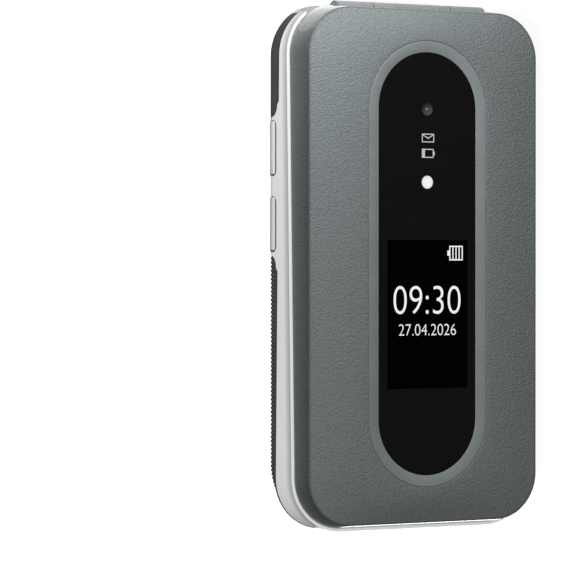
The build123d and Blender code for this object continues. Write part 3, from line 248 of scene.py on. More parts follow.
# Moulded plastic: size of the mottling, and roughness factors of its glossy and its dull spots
MOTTLE_SIZE = 6 * MM
GLOSS_FACTORS = (0.9, 1.12)

# Glass and lit marks: sizes of their smears and mottling, and how these change tone and gloss
SMEAR_SIZE = 9 * MM
SMEAR_CORE = (0.4, 0.7)
SMEAR_SPAN = (0.35, 0.75)
SMEAR_TONE = 0.9
SMEAR_GLOSS = 1.8
LIT_SIZE = 0.4 * MM
LIT_TONE = 0.94
LIT_ROUGHNESS = 0.6
LENS_ROUGHNESS = 0.25

# Noise values that most of a surface lies between, close in and further out
NOISE_CORE = (0.35, 0.65)
NOISE_SPAN = (0.3, 0.7)

# Sockets of a Mix node that mixes colours
MIX_SHARE, MIX_FIRST, MIX_SECOND, MIX_RESULT = 0, 6, 7, 2

pin_low, pin_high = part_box("hinge_pin")
AXIS = (pin_low + pin_high) / 2


# Shader nodes


def node_material(name):
    """New material with its node tree and shader."""
    made = bpy.data.materials.new(name)
    made.use_nodes = True
    tree = made.node_tree
    return made, tree, tree.nodes["Principled BSDF"]


def new_node(tree, kind, **values):
    """Node with inputs set to values, or settings where it has no input of the name."""
    made = tree.nodes.new(kind)
    for key, value in values.items():
        if key in made.inputs:
            made.inputs[key].default_value = value
        else:
            setattr(made, key, value)
    return made


def fed(tree, made, values):
    """Node with its first inputs linked to sockets or set to fixed values."""
    for index, value in enumerate(values):
        if isinstance(value, bpy.types.NodeSocket):
            tree.links.new(value, made.inputs[index])
        else:
            made.inputs[index].default_value = value
    return made


def maths(tree, operation, *values):
    """Result of an operation on number sockets or fixed numbers."""
    made = new_node(tree, "ShaderNodeMath", operation=operation)
    return fed(tree, made, values).outputs["Value"]


def vector_maths(tree, operation, *values, result="Vector"):
    """Result of an operation on vector sockets or fixed vectors."""
    made = new_node(tree, "ShaderNodeVectorMath", operation=operation)
    return fed(tree, made, values).outputs[result]


def object_place(tree):
    """Place on the object itself, in metres."""
    return new_node(tree, "ShaderNodeTexCoord").outputs["Object"]


def noise(tree, place, size, detail=3.0, roughness=0.55):
    """Noise with features of about the given size in metres."""
    made = new_node(
        tree, "ShaderNodeTexNoise", Scale=1 / size, Detail=detail, Roughness=roughness
    )
    tree.links.new(place, made.inputs["Vector"])
    return made.outputs["Fac"]


def cells(tree, place, size):
    """Cell pattern with cells of about the given size in metres."""
    made = new_node(tree, "ShaderNodeTexVoronoi", Scale=1 / size)
    tree.links.new(place, made.inputs["Vector"])
    return made.outputs["Distance"]


def spread(tree, source, low, high, to_low, to_high):
    """Source values between low and high, mapped to another span."""
    made = new_node(tree, "ShaderNodeMapRange", **{
        "From Min": low, "From Max": high, "To Min": to_low, "To Max": to_high,
    })
    tree.links.new(source, made.inputs["Value"])
    return made.outputs["Result"]


def ramp(tree, source, stops):
    """Colour ramp with stops of (place, colour)."""
    made = new_node(tree, "ShaderNodeValToRGB")
    elements = made.color_ramp.elements
    while len(elements) < len(stops):
        elements.new(0.5)
    for element, (place, colour) in zip(elements, stops):
        element.position = place
        element.color = (*colour, 1.0)
    tree.links.new(source, made.inputs["Fac"])
    return made.outputs["Color"]


def bump(tree, shader, height, distance, below=None):
    """Small relief, laid over another relief where one is given."""
    made = new_node(tree, "ShaderNodeBump", Distance=distance, Strength=1.0)
    tree.links.new(height, made.inputs["Height"])
    if below is not None:
        tree.links.new(below, made.inputs["Normal"])
    tree.links.new(made.outputs["Normal"], shader.inputs["Normal"])
    return made.outputs["Normal"]


def along(tree, place, direction):
    """Distance along a direction, in metres."""
    return vector_maths(tree, "DOT_PRODUCT", place, direction, result="Value")


def away_from(tree, centre, counted):
    """Distance from a centre, by the axes that are counted, in metres."""
    flat = vector_maths(tree, "MULTIPLY", object_place(tree), counted)
    return vector_maths(tree, "DISTANCE", flat, centre, result="Value")


def under_parting(tree, place, low, high):
    """Share that rises from none to all between two depths under the tilted parting plane."""
    above = along(tree, place, (0.0, math.tan(PARTING_TILT), 1.0))
    return spread(tree, above, PARTING_HEIGHT - low, PARTING_HEIGHT - high, 0.0, 1.0)


def beside_seam(tree, place):
    """One on the strip just above the seam plane, nothing higher up and on the boss."""
    above = along(tree, place, (0.0, -math.tan(SEAM_TILT), 1.0))
    y = along(tree, place, Y_AXIS)
    past_start = maths(tree, "SUBTRACT", y, BOSS_START - BOSS_SHOULDER)
    past_end = maths(tree, "SUBTRACT", COVER_END + BOSS_SHOULDER, y)
    inside = maths(tree, "ADD", maths(tree, "MINIMUM", past_start, past_end), SEAM_STRIP)
    at_left = spread(tree, along(tree, place, X_AXIS), -BODY_RADIUS, 0.0, 1.0, 0.0)
    lowered = maths(tree, "MULTIPLY", maths(tree, "MAXIMUM", inside, 0.0), at_left)
    edge = maths(tree, "SUBTRACT", SEAM_HEIGHT + SEAM_STRIP, lowered)
    return spread(tree, maths(tree, "SUBTRACT", above, edge), -EDGE_BLEND, EDGE_BLEND, 1.0, 0.0)


def near_axis(tree, place, radius, half):
    """One inside a round bar about the hinge axis, nothing outside it."""
    away = away_from(tree, (0.0, AXIS.y, AXIS.z), (0.0, 1.0, 1.0))
    inside = spread(tree, away, radius, radius + EDGE_BLEND, 1.0, 0.0)
    side = maths(tree, "ABSOLUTE", along(tree, place, X_AXIS))
    within = spread(tree, side, half, half + EDGE_BLEND, 1.0, 0.0)
    return maths(tree, "MULTIPLY", inside, within)


def rings_about(tree, node, reach):
    """Share of the reach from the line up through a node's middle."""
    low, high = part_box(node)
    middle = ((low.x + high.x) / 2, (low.y + high.y) / 2, 0.0)
    return spread(tree, away_from(tree, middle, (1.0, 1.0, 0.0)), 0.0, reach, 0.0, 1.0)


def blended(tree, shader, share, colour):
    """Mixes another colour over the base colour by a share."""
    mixed = new_node(tree, "ShaderNodeMix", data_type="RGBA")
    source = shader.inputs["Base Color"].links[0].from_socket
    tree.links.new(share, mixed.inputs[MIX_SHARE])
    tree.links.new(source, mixed.inputs[MIX_FIRST])
    mixed.inputs[MIX_SECOND].default_value = (*colour, 1.0)
    tree.links.new(mixed.outputs[MIX_RESULT], shader.inputs["Base Color"])


def toned(colour, factor):
    """Colour made darker or lighter."""
    return tuple(min(1.0, c * factor) for c in colour)


def mottled(tree, pattern, span, darker, lighter):
    """Colour that passes from darker to lighter with a pattern's values."""
    return ramp(tree, pattern, ((span[0], darker), (span[1], lighter)))


def glowing(made, colour, strength):
    """Gives a material a colour and a glow of that colour that isn't sampled as a light."""
    tree = made.node_tree
    shader = tree.nodes["Principled BSDF"]
    tree.links.new(colour, shader.inputs["Base Color"])
    tree.links.new(colour, shader.inputs["Emission Color"])
    shader.inputs["Emission Strength"].default_value = strength
    made.cycles.emission_sampling = "NONE"


# Materials


def moulded(name, colour, roughness, **finish):
    """Moulded or painted surface."""
    return moulded_parts(name, colour, roughness, **finish)[0]


def moulded_parts(
    name, colour, roughness, grain=0.25 * MM, relief=0.004 * MM, metal=0.0, specular=0.5,
    vary=0.12,
):
    """Material, tree and shader of a surface with a fine grain, mottling and uneven gloss."""
    made, tree, shader = node_material(name)
    place = object_place(tree)
    fine = noise(tree, place, grain, detail=4.0)
    broad = noise(tree, place, MOTTLE_SIZE)
    tints = toned(colour, 1 - vary), toned(colour, 1 + vary)
    tree.links.new(mottled(tree, broad, NOISE_CORE, *tints), shader.inputs["Base Color"])
    glossy, dull = (min(1.0, roughness * factor) for factor in GLOSS_FACTORS)
    tree.links.new(spread(tree, fine, *NOISE_SPAN, glossy, dull), shader.inputs["Roughness"])
    shader.inputs["Metallic"].default_value = metal
    shader.inputs["Specular IOR Level"].default_value = specular
    bump(tree, shader, fine, relief)
    return made, tree, shader


def leather(name, colour):
    """Soft-touch plastic with a grain of folds and creased cells, and painted shade on the side
    band.
    """
    made, tree, shader = node_material(name)
    place = object_place(tree)
    warp = new_node(tree, "ShaderNodeTexNoise", Scale=1 / WARP_SIZE, Detail=2.0)
    tree.links.new(place, warp.inputs["Vector"])
    shift = vector_maths(tree, "MULTIPLY", warp.outputs["Color"], (WARP_REACH,) * 3)
    creases = cells(tree, vector_maths(tree, "ADD", place, shift), CELL_SIZE)
    pebbles = spread(tree, creases, 0.0, CELL_EDGE, 1.0, 0.0)
    folds = noise(tree, vector_maths(tree, "MULTIPLY", place, FOLD_STRETCH), FOLD_SIZE, detail=2.0)
    pores = noise(tree, place, PORE_SIZE)
    # The tone follows the folds: darker in their hollows, lighter on their ridges
    tints = (toned(colour, factor) for factor in FOLD_TONES)
    tree.links.new(mottled(tree, folds, NOISE_CORE, *tints), shader.inputs["Base Color"])
    # Painted shade on the side band, growing towards the crease and ending there
    height = along(tree, place, Z_AXIS)
    growing = spread(tree, height, *BAND_GROWS, BAND_FOOT_SHARE, 1.0)
    ending = spread(tree, height, *BAND_ENDS, 1.0, 0.0)
    blended(tree, shader, maths(tree, "MULTIPLY", growing, ending), toned(colour, BAND_SHADE))
    tree.links.new(spread(tree, folds, *NOISE_SPAN, *FOLD_GLOSS), shader.inputs["Roughness"])
    for key, value in COAT.items():
        shader.inputs[key].default_value = value
    first = bump(tree, shader, folds, FOLD_DEPTH)
    second = bump(tree, shader, pebbles, CELL_DEPTH, below=first)
    bump(tree, shader, pores, PORE_DEPTH, below=second)
    return made


def silver_paint(name, colour, painted_shade):
    """Satin silver paint with painted shade, darker towards the lid save on the ledge, and dark on
    the strip by the seam.
    """
    made, tree, shader = moulded_parts(name, colour, 0.34, vary=0.02, **SILVER_FINISH)
    place = object_place(tree)
    # Painted shade: the wall darkens towards the lid as if it curved away from the light, and the
    # ledge keeps the full colour
    blended(tree, shader, under_parting(tree, place, *PAINTED_SHADE_DEPTHS), painted_shade)
    blended(tree, shader, under_parting(tree, place, *LEDGE_DEPTHS), colour)
    blended(tree, shader, beside_seam(tree, place), COVER_GREY)
    return made


def key_paint(name, node, colour):
    """Silver key with a painted highlight on its rounding, and painted shadow on its edge towards
    the lid and at its lower end.
    """
    made, tree, shader = moulded_parts(name, colour, 0.36, vary=0.03, **SILVER_FINISH)
    low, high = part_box(node)
    place = object_place(tree)
    z = along(tree, place, Z_AXIS)
    top = high.z - KEY_FLANGE
    # Painted highlight on the rounding, then painted shadow on the edge towards the lid
    for (start, full), tone in ((KEY_HIGHLIGHT_SPAN, KEY_HIGHLIGHT), (KEY_SHADOW_SPAN, KEY_SHADOW)):
        blended(tree, shader, spread(tree, z, top - start, top - full, 0.0, 1.0), tone)
    # Painted shadow at the key's lower end
    y = along(tree, place, Y_AXIS)
    end = low.y + KEY_FLANGE
    full, start = KEY_END_SHADOW_SPAN
    blended(tree, shader, spread(tree, y, end + full, end + start, 1.0, 0.0), KEY_SHADOW)
    return made


def housing_plastic(name, colour):
    """Dark plastic, painted silver where it wraps round the hinge."""
    made, tree, shader = moulded_parts(name, colour, 0.5, vary=0.08)
    share = near_axis(tree, object_place(tree), WRAP_RADIUS, WRAP_HALF)
    blended(tree, shader, share, WRAP_SILVER)
    return made


def barrel_plastic(name, colour):
    """Grey plastic of the hinge barrel, with painted shade along its outermost line and a painted
    highlight on its left end.
    """
    made, tree, shader = moulded_parts(name, colour, 0.45, vary=0.05)
    place = object_place(tree)
    # Painted shade along the outermost line, in the cover's grey
    y = along(tree, place, Y_AXIS)
    line = spread(tree, y, BARREL_LINE - EDGE_BLEND, BARREL_LINE + EDGE_BLEND, 0.0, 1.0)
    blended(tree, shader, line, COVER_GREY)
    # Painted highlight on the left end
    x = along(tree, place, X_AXIS)
    end_highlight = spread(tree, x, EDGE_BLEND - BARREL_HALF, 2 * EDGE_BLEND - BARREL_HALF, 1.0, 0.0)
    blended(tree, shader, end_highlight, BARREL_END_HIGHLIGHT)
    return made


def lit(name, colour, strength):
    """Lit mark on a display, with a faint mottle."""
    made, tree, shader = node_material(name)
    mottle = noise(tree, object_place(tree), LIT_SIZE)
    glowing(made, mottled(tree, mottle, NOISE_SPAN, toned(colour, LIT_TONE), colour), strength)
    shader.inputs["Roughness"].default_value = LIT_ROUGHNESS
    return made


def camera_glass(name):
    """Dark glass with a pale front lens in its middle and a grey rim round it."""
    made, tree, shader = node_material(name)
    rings = rings_about(tree, "camera_lens", EYE_REACH)
    tree.links.new(ramp(tree, rings, EYE_RINGS), shader.inputs["Base Color"])
    shader.inputs["Roughness"].default_value = LENS_ROUGHNESS
    return made


def flash_dot(name):
    """Lit dot that fades towards its rim."""
    made, tree, _ = node_material(name)
    rings = rings_about(tree, "flash_lens", FLASH_REACH)
    glowing(made, ramp(tree, rings, FLASH_RINGS), FLASH_STRENGTH)
    return made


def glass(name, colour, roughness, specular):
    """Dark window with the faint smears of a handled surface."""
    made, tree, shader = node_material(name)
    smears = noise(tree, object_place(tree), SMEAR_SIZE, detail=5.0)
    tinted = mottled(tree, smears, SMEAR_CORE, toned(colour, SMEAR_TONE), colour)
    tree.links.new(tinted, shader.inputs["Base Color"])
    gloss = spread(tree, smears, *SMEAR_SPAN, roughness, roughness * SMEAR_GLOSS)
    tree.links.new(gloss, shader.inputs["Roughness"])
    shader.inputs["Specular IOR Level"].default_value = specular
    return made


MATERIALS = {
    "lid_shell": leather("lid_leather", SHELL_GREY),
    "bezel": moulded("bezel_paint", (0.158, 0.174, 0.176), 0.42, vary=0.05),
    # Silver paint, with the colour of its painted shade towards the lid
    "silver": silver_paint("silver_paint", (0.84, 0.84, 0.86), (0.46, 0.46, 0.47)),
    "key_up": key_paint("volume_up_paint", "volume_up_key", (0.50, 0.50, 0.515)),
    "key_down": key_paint("volume_down_paint", "volume_down_key", (0.50, 0.50, 0.515)),
    "dark": housing_plastic("dark_plastic", (0.058, 0.057, 0.060)),
    "barrel": barrel_plastic("barrel_plastic", (0.13, 0.137, 0.139)),
    "cover": moulded("cover_plastic", COVER_GREY, 0.52, specular=0.35, vary=0.08),
    "window": glass("window_glass", (0.0022, 0.0022, 0.0022), 0.06, 0.35),
    "display": glass("display_black", (0.0004, 0.0004, 0.0004), 0.3, 0.02),
    "screen": glass("screen_glass", (0.003, 0.003, 0.004), 0.05, 0.5),
    "camera": camera_glass("camera_glass"),
    "flash": flash_dot("flash_white"),
    "light_mark": lit("light_mark", (0.25, 0.25, 0.26), 2.6),
    "printed_mark": lit("printed_mark", (0.20, 0.20, 0.20), 1.5),
    "hinge": moulded("hinge_plastic", (0.020, 0.020, 0.022), 0.4, vary=0.1),
    "inner": moulded("inner_plastic", (0.022, 0.023, 0.025), 0.45, vary=0.1),
    "deck": moulded("deck_plastic", (0.060, 0.062, 0.066), 0.45, vary=0.08),
    "digit": moulded("digit_key_plastic", (0.030, 0.031, 0.034), 0.42, vary=0.08),
    "function": moulded("function_key_plastic", (0.48, 0.48, 0.49), 0.35, metal=0.35, vary=0.05),
    "legend": moulded("legend_ink", (0.75, 0.76, 0.78), 0.55, vary=0.04),
    "dark_ink": moulded("dark_ink", (0.030, 0.031, 0.034), 0.55, vary=0.04),
    "green": moulded("green_ink", (0.03, 0.36, 0.08), 0.5, vary=0.04),
    "red": moulded("red_ink", (0.55, 0.03, 0.02), 0.5, vary=0.04),
    "rubber": moulded("rubber", (0.030, 0.030, 0.031), 0.8, relief=0.01 * MM),
    "steel": moulded("steel", (0.55, 0.55, 0.56), 0.28, grain=0.08 * MM, metal=1.0, vary=0.05),
    "board": moulded("circuit_board", (0.012, 0.075, 0.035), 0.45, vary=0.2),
    "film": moulded("dome_film", (0.55, 0.56, 0.52), 0.4, vary=0.05),
    "wrap": moulded("battery_wrap", (0.030, 0.031, 0.034), 0.4, vary=0.1),
    "brass": moulded("brass", (0.65, 0.46, 0.16), 0.3, metal=1.0, vary=0.08),
}

# CAD nodes by material. Of the others, digit keys take "digit" and the rest "inner".
MATERIAL_NODES = {
    "silver": ("base_frame",),
    "dark": ("rear_housing",),
    "cover": ("battery_cover",),
    "key_up": ("volume_up_key",),
    "key_down": ("volume_down_key",),
    "bezel": ("window_bezel",),
    "window": ("outer_window",),
    "screen": ("outer_display", "main_display_window", "main_display"),
    "camera": ("camera_lens",),
    "flash": ("flash_lens",),
    "lid_shell": ("lid_outer_shell",),
    "barrel": ("lid_hinge_knuckles", "base_hinge_knuckle"),
    "steel": (
        "hinge_cam", "hinge_pin", "hinge_spring", "lid_screws", "base_screws", "lid_magnet",
        "shield_cans", "charging_socket", "vibration_motor", "card_holder",
    ),
    "rubber": ("lid_bumpers", "keypad_mat"),
    "deck": ("keypad_deck",),
    "film": ("dome_sheet",),
    "board": ("main_board", "lid_board"),
    "wrap": ("battery",),
    "brass": ("battery_contacts",),
    "hinge": ("headset_jack",),
    "function": (
        "call_key", "end_key", "soft_key_left", "soft_key_right", "navigation_rocker",
    ),
    "digit": ("ok_key",),
}
NODE_MATERIALS = {node: key for key, nodes in MATERIAL_NODES.items() for node in nodes}

for node_name, node_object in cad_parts.items():
    default = "digit" if node_name.startswith("key_") else "inner"
    chosen = MATERIALS[NODE_MATERIALS.get(node_name, default)]
    node_object.data.materials.clear()
    node_object.data.materials.append(chosen)


# Outlines and meshes


def straight_line(start, end, count):
    """Points strictly between two points."""
    return [start.lerp(end, step / count) for step in range(1, count)]


def outline(width, length, radius):
    """Points round a rounded rectangle, in the same order and number for every size."""
    corners = ((1, 1), (-1, 1), (-1, -1), (1, -1))
    arcs = []
    for index, (x_side, y_side) in enumerate(corners):
        centre = Vector((x_side * (width / 2 - radius), y_side * (length / 2 - radius)))
        arc = []
        for step in range(ARC_STEPS + 1):
            angle = math.pi / 2 * (index + step / ARC_STEPS)
            arc.append(centre + radius * Vector((math.cos(angle), math.sin(angle))))
        arcs.append(arc)
    points = []
    for index, arc in enumerate(arcs):
        following = arcs[(index + 1) % len(arcs)]
        count = LONG_STEPS if index % 2 else SHORT_STEPS
        points += arc + straight_line(arc[-1], following[0], count)
    return points


def onto_stadium(points, width):
    """For each point, the point of a stadium of that width that lies straight in from it."""
    spine = (WINDOW_LENGTH - WINDOW_WIDTH) / 2
    found = []
    for point in points:
        reach = max(-spine, min(spine, point.y - WINDOW_SHIFT))
        foot = Vector((0, WINDOW_SHIFT + reach))
        found.append(foot + (point - foot).normalized() * width / 2)
    return found


def raised(points, height):
    """Flat points at one height, or at the height that a function gives for each."""
    return [Vector((p.x, p.y, height(p) if callable(height) else height)) for p in points]


def parting_height(rise):
    """Height of the tilted parting plane, raised by a gap, at each point."""
    return lambda p: PARTING_HEIGHT + rise - p.y * math.tan(PARTING_TILT)


def between(first, second, share):
    """Loop at a share of the way from one loop to another."""
    return [a.lerp(b, share) for a, b in zip(first, second)]


def towards(points, targets, distance):
    """Each point moved a distance towards its target."""
    return [p + (q - p).normalized() * distance for p, q in zip(points, targets)]


def rounded_turn(before, corner, after, steps):
    """Loops of a rounded corner that leaves one loop and reaches another."""
    loops = []
    for step in range(steps + 1):
        t = step / steps
        loops.append([
            a * (1 - t) ** 2 + c * 2 * t * (1 - t) + b * t ** 2
            for a, c, b in zip(before, corner, after)
        ])
    return loops


def placed(name, data):
    """New object in the scene."""
    made = bpy.data.objects.new(name, data)
    bpy.context.scene.collection.objects.link(made)
    return made


def new_mesh(name, vertices, faces):
    """Mesh of vertices and faces."""
    mesh = bpy.data.meshes.new(name)
    mesh.from_pydata([tuple(v) for v in vertices], [], faces)
    return mesh


def finished_piece(name, mesh, material, body, sharp=SHARP):
    """New piece of a mesh, smooth but for its sharp edges, riding on a body."""
    shaped = bmesh.new()
    shaped.from_mesh(mesh)
    bmesh.ops.recalc_face_normals(shaped, faces=shaped.faces)
    shaped.to_mesh(mesh)
    shaped.free()
    mesh.polygons.foreach_set("use_smooth", [True] * len(mesh.polygons))
    mesh.set_sharp_from_angle(angle=math.radians(sharp))
    mesh.materials.clear()
    mesh.materials.append(MATERIALS[material])
    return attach(placed(name, mesh), body)


def mesh_piece(name, vertices, faces, material, body, sharp=SHARP):
    """New piece of vertices and faces."""
    return finished_piece(name, new_mesh(name, vertices, faces), material, body, sharp)


def ring_faces(loop_count, point_count, closed):
    """Quads between neighbouring loops of points."""
    faces = []
    for loop in range(loop_count if closed else loop_count - 1):
        following = (loop + 1) % loop_count
        for point in range(point_count):
            beside = (point + 1) % point_count
            faces.append((
                loop * point_count + point,
                loop * point_count + beside,
                following * point_count + beside,
                following * point_count + point,
            ))
    return faces


def ring_piece(name, loops, material, body):
    """Piece whose section is a closed row of loops."""
    vertices = [v for loop in loops for v in loop]
    faces = ring_faces(len(loops), len(loops[0]), True)
    return mesh_piece(name, vertices, faces, material, body)


def cut_away(piece, cutter):
    """Takes the cutter's space out of the piece, then removes the cutter."""
    modifier = piece.modifiers.new("cut", "BOOLEAN")
    modifier.operation = "DIFFERENCE"
    modifier.solver = "EXACT"
    modifier.object = cutter
    bpy.context.view_layer.update()
    evaluated = piece.evaluated_get(bpy.context.evaluated_depsgraph_get())
    cut = bpy.data.meshes.new_from_object(evaluated)
    piece.modifiers.clear()
    piece.data = cut
    bpy.data.objects.remove(cutter)
    cut.set_sharp_from_angle(angle=math.radians(SHARP))


def rod(name, half, radius, count=64):
    """Closed round rod about the hinge axis, without a body."""
    vertices = []
    for x in (-half, half):
        for step in range(count):
            angle = 2 * math.pi * step / count
            y = AXIS.y + radius * math.cos(angle)
            vertices.append((x, y, AXIS.z + radius * math.sin(angle)))
    faces = [(i, (i + 1) % count, count + (i + 1) % count, count + i) for i in range(count)]
    faces += [tuple(reversed(range(count))), tuple(range(count, 2 * count))]
    return placed(name, new_mesh(name, vertices, faces))


# Lid shell and bezel


def lid_shell():
    """Leather-grained shell: drafted sides, rounded crease, pillowed front round the bezel."""
    crease = outline(CREASE_WIDTH, CREASE_LENGTH, CREASE_RADIUS)
    foot = outline(BODY_WIDTH - 2 * LEDGE, BODY_LENGTH - 2 * LEDGE, BODY_RADIUS - LEDGE)
    inside = outline(
        BODY_WIDTH - 2 * LEDGE - 2 * LID_WALL,
        BODY_LENGTH - 2 * LEDGE - 2 * LID_WALL,
        BODY_RADIUS - LEDGE - LID_WALL,
    )
    inside_top = outline(
        CREASE_WIDTH - 2 * LID_WALL, CREASE_LENGTH - 2 * LID_WALL, CREASE_RADIUS - LID_WALL
    )
    pocket = onto_stadium(crease, WINDOW_WIDTH + 2 * BEZEL_WIDTH + 2 * BEZEL_GAP)
    opening = onto_stadium(crease, WINDOW_WIDTH - 2 * WINDOW_LAND)
    low = parting_height(LID_GAP)
    foot_loop = raised(foot, low)
    inner_foot = raised(inside, low)
    crease_loop = raised(crease, CREASE_HEIGHT)
    edge = raised(pocket, BEZEL_TOP)

    def pillow(share):
        """Loop at a share of the way from the crease to the bezel."""
        height = CREASE_HEIGHT + (BEZEL_TOP - CREASE_HEIGHT) * math.sin(share * math.pi / 2)
        return raised(between(crease_loop, edge, share), height)

    loops = [inner_foot]
    foot_in = towards(foot_loop, inner_foot, RIM_ROUNDING)
    foot_up = towards(foot_loop, crease_loop, RIM_ROUNDING)
    loops += rounded_turn(foot_in, foot_loop, foot_up, RIM_STEPS)
    loops += [between(foot_loop, crease_loop, share) for share in BAND_SHARES]
    crease_below = towards(crease_loop, foot_loop, CREASE_ROUNDING)
    crease_above = towards(crease_loop, pillow(PILLOW_START), CREASE_ROUNDING)
    loops += rounded_turn(crease_below, crease_loop, crease_above, CREASE_STEPS)
    loops += [pillow(step / PILLOW_STEPS) for step in range(1, PILLOW_STEPS)]
    edge_before = towards(edge, pillow(1 - 1 / PILLOW_STEPS), BEZEL_ROUNDING)
    edge_below = [v - Vector((0, 0, BEZEL_ROUNDING)) for v in edge]
    loops += rounded_turn(edge_before, edge, edge_below, RIM_STEPS)
    loops.append(raised(pocket, GLASS_TOP - WINDOW_THICKNESS))
    loops.append(raised(opening, GLASS_TOP - WINDOW_THICKNESS))
    loops.append(raised(opening, LID_ROOF))
    loops.append(raised(inside_top, LID_ROOF))
    piece = ring_piece("lid_shell", loops, "lid_shell", "lid")
    cut_away(piece, rod("barrel_room", BARREL_HALF, BARREL_RADIUS))
    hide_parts("lid_outer_shell")


def bezel():
    """Smooth ring that slopes in to the black window, with rounded edges."""
    guide = outline(CREASE_WIDTH, CREASE_LENGTH, CREASE_RADIUS)
    outer = onto_stadium(guide, WINDOW_WIDTH + 2 * BEZEL_WIDTH)
    inner = onto_stadium(guide, WINDOW_WIDTH)
    bottom = GLASS_TOP - WINDOW_THICKNESS
    outer_low = raised(outer, bottom)
    outer_top = raised(outer, BEZEL_TOP)
    inner_top = raised(inner, BEZEL_LOW_EDGE)
    inner_low = raised(inner, bottom)
    loops = [outer_low]
    loops += rounded_turn(
        towards(outer_top, outer_low, BEZEL_ROUNDING), outer_top,
        towards(outer_top, inner_top, BEZEL_ROUNDING), BEZEL_STEPS,
    )
    loops += rounded_turn(
        towards(inner_top, outer_top, BEZEL_ROUNDING / 2), inner_top,
        towards(inner_top, inner_low, BEZEL_ROUNDING / 2), RIM_STEPS,
    )
    loops.append(inner_low)
    piece = ring_piece("bezel_ring", loops, "bezel", "lid")
    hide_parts("window_bezel")


# Battery cover


def cover_columns():
    """Places round the cover's wall, from the boss round the free end and up the right side.

    Each has its point on the outline, the way out there, how many ribs in it lies, and the
    share of the ribs' depth that goes on across the back.
    """
    half_width = BODY_WIDTH / 2
    corner_y = COVER_RADIUS - BODY_LENGTH / 2
    corner_x = half_width - COVER_RADIUS
    arc = math.pi / 2 * COVER_RADIUS
    around = 2 * arc + 2 * corner_x
    left, right, free_end = [], [], []
    step = RIB_PITCH / RIB_SAMPLES
    places = [corner_y + step * index for index in range(int((COVER_END - corner_y) / step) + 1)]
    for y in sorted(places + [BOSS_START, COVER_END]):
        ribs = (y - corner_y) / RIB_PITCH
        across = min(1.0, (y - corner_y) / RIB_FADE)
        if y <= BOSS_START:
            left.append((Vector((-half_width, y)), Vector((-1, 0)), ribs, across))
        right.append((Vector((half_width, y)), Vector((1, 0)), ribs, across))
    for index in range(1, END_RIBS * RIB_SAMPLES):
        ribs = index / RIB_SAMPLES
        passed = around * ribs / END_RIBS
        turned = min(passed, arc) + max(0.0, passed - arc - 2 * corner_x)
        angle = math.pi + turned / COVER_RADIUS
        moved = min(max(passed - arc, 0.0), 2 * corner_x)
        outward = Vector((math.cos(angle), math.sin(angle)))
        point = Vector((moved - corner_x, corner_y)) + outward * COVER_RADIUS
        free_end.append((point, outward, ribs, 0.0))
    return left, free_end, right


def groove(ribs):
    """Depth between two round-topped ribs, as a share of the deepest."""
    return 1 - abs(math.sin(math.pi * ribs))


def cover_rim(point):
    """Height of the wall's upper edge: just under the seam, lower by the boss's round shoulder."""
    height = SEAM_HEIGHT - SEAM_GAP + point.y * math.tan(SEAM_TILT)
    into = point.y - (BOSS_START - BOSS_SHOULDER)
    if point.x < 0 and into > 0:
        height -= BOSS_SHOULDER - math.sqrt(max(0.0, BOSS_SHOULDER ** 2 - into ** 2))
    return height


def down_the_wall(column, skin):
    """Points from the wall's upper edge to the flat back, on the ribbed skin or the one inside."""
    point, outward, ribs, across = column
    rim = cover_rim(point)
    wall = max(0.0, rim - BACK_ROUNDING)
    first = math.asin(max(0.0, 1 - rim / BACK_ROUNDING))
    length = wall + BACK_ROUNDING * (math.pi / 2 - first)
    points = []
    for step in range(EDGE_STEPS + 1):
        down = length * step / EDGE_STEPS
        angle = first + max(0.0, down - wall) / BACK_ROUNDING
        past = max(0.0, math.sin(angle) - RIB_FADE_START) / (1 - RIB_FADE_START)
        inward = skin or RIB_DEPTH * groove(ribs) * (1 - past * (1 - across))
        radius = BACK_ROUNDING - inward
        place = point - outward * (BACK_ROUNDING - radius * math.cos(angle))
        height = max(0.0, rim - down - BACK_ROUNDING) if down < wall else 0.0
        z = height + BACK_ROUNDING - radius * math.sin(angle)
        points.append(Vector((place.x, place.y, z)))
    return points


def closed_between(outer, inner, faces):
    """Vertices and faces of a body between two skins with the same faces."""
    count = len(outer)
    uses = {}
    for face in faces:
        for a, b in zip(face, face[1:] + face[:1]):
            uses.setdefault(frozenset((a, b)), []).append((a, b))
    rims = [edges[0] for edges in uses.values() if len(edges) == 1]
    closed = list(faces)
    closed += [tuple(v + count for v in reversed(face)) for face in faces]
    closed += [(b, a, a + count, b + count) for a, b in rims]
    return outer + inner, closed


def battery_cover():
    """Cover with ribs down its walls that run on across the back."""
    left, free_end, right = cover_columns()
    columns = list(reversed(left)) + free_end + right
    beside_boss = right[len(left) - 1:]
    skins = []
    for skin in (0.0, COVER_THICKNESS):
        points = [p for column in columns for p in down_the_wall(column, skin)]
        for x in (BACK_ROUNDING - BODY_WIDTH / 2, -BOSS_FACE):
            for point, _, ribs, across in beside_boss:
                points.append(Vector((x, point.y, skin or RIB_DEPTH * groove(ribs) * across)))
        skins.append(points)
    rows = EDGE_STEPS + 1
    faces = []
    for column in range(len(columns) - 1):
        for row in range(EDGE_STEPS):
            here = column * rows + row
            faces.append((here, here + 1, here + rows + 1, here + rows))
    flat = [column * rows + EDGE_STEPS for column in range(len(columns))]
    far_side = flat[len(left) + len(free_end):]
    added, count = len(columns) * rows, len(beside_boss)
    near_side = list(reversed(flat[:len(left)])) + [added + 1 + i for i in range(count - 1)]
    at_boss = [added + count + i for i in range(count)]
    strips = ((near_side, far_side), (at_boss, near_side[len(left) - 1:]))
    for one, other in strips:
        for index in range(len(one) - 1):
            faces.append((one[index], other[index], other[index + 1], one[index + 1]))
    faces.append(tuple(flat[len(left) - 1:len(left) + len(free_end) + 1]))
    vertices, closed = closed_between(*skins, faces)
    piece = mesh_piece("ribbed_cover", vertices, closed, "cover", "battery_cover", COVER_SHARP)
    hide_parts("battery_cover")


# Figures, signs and legends


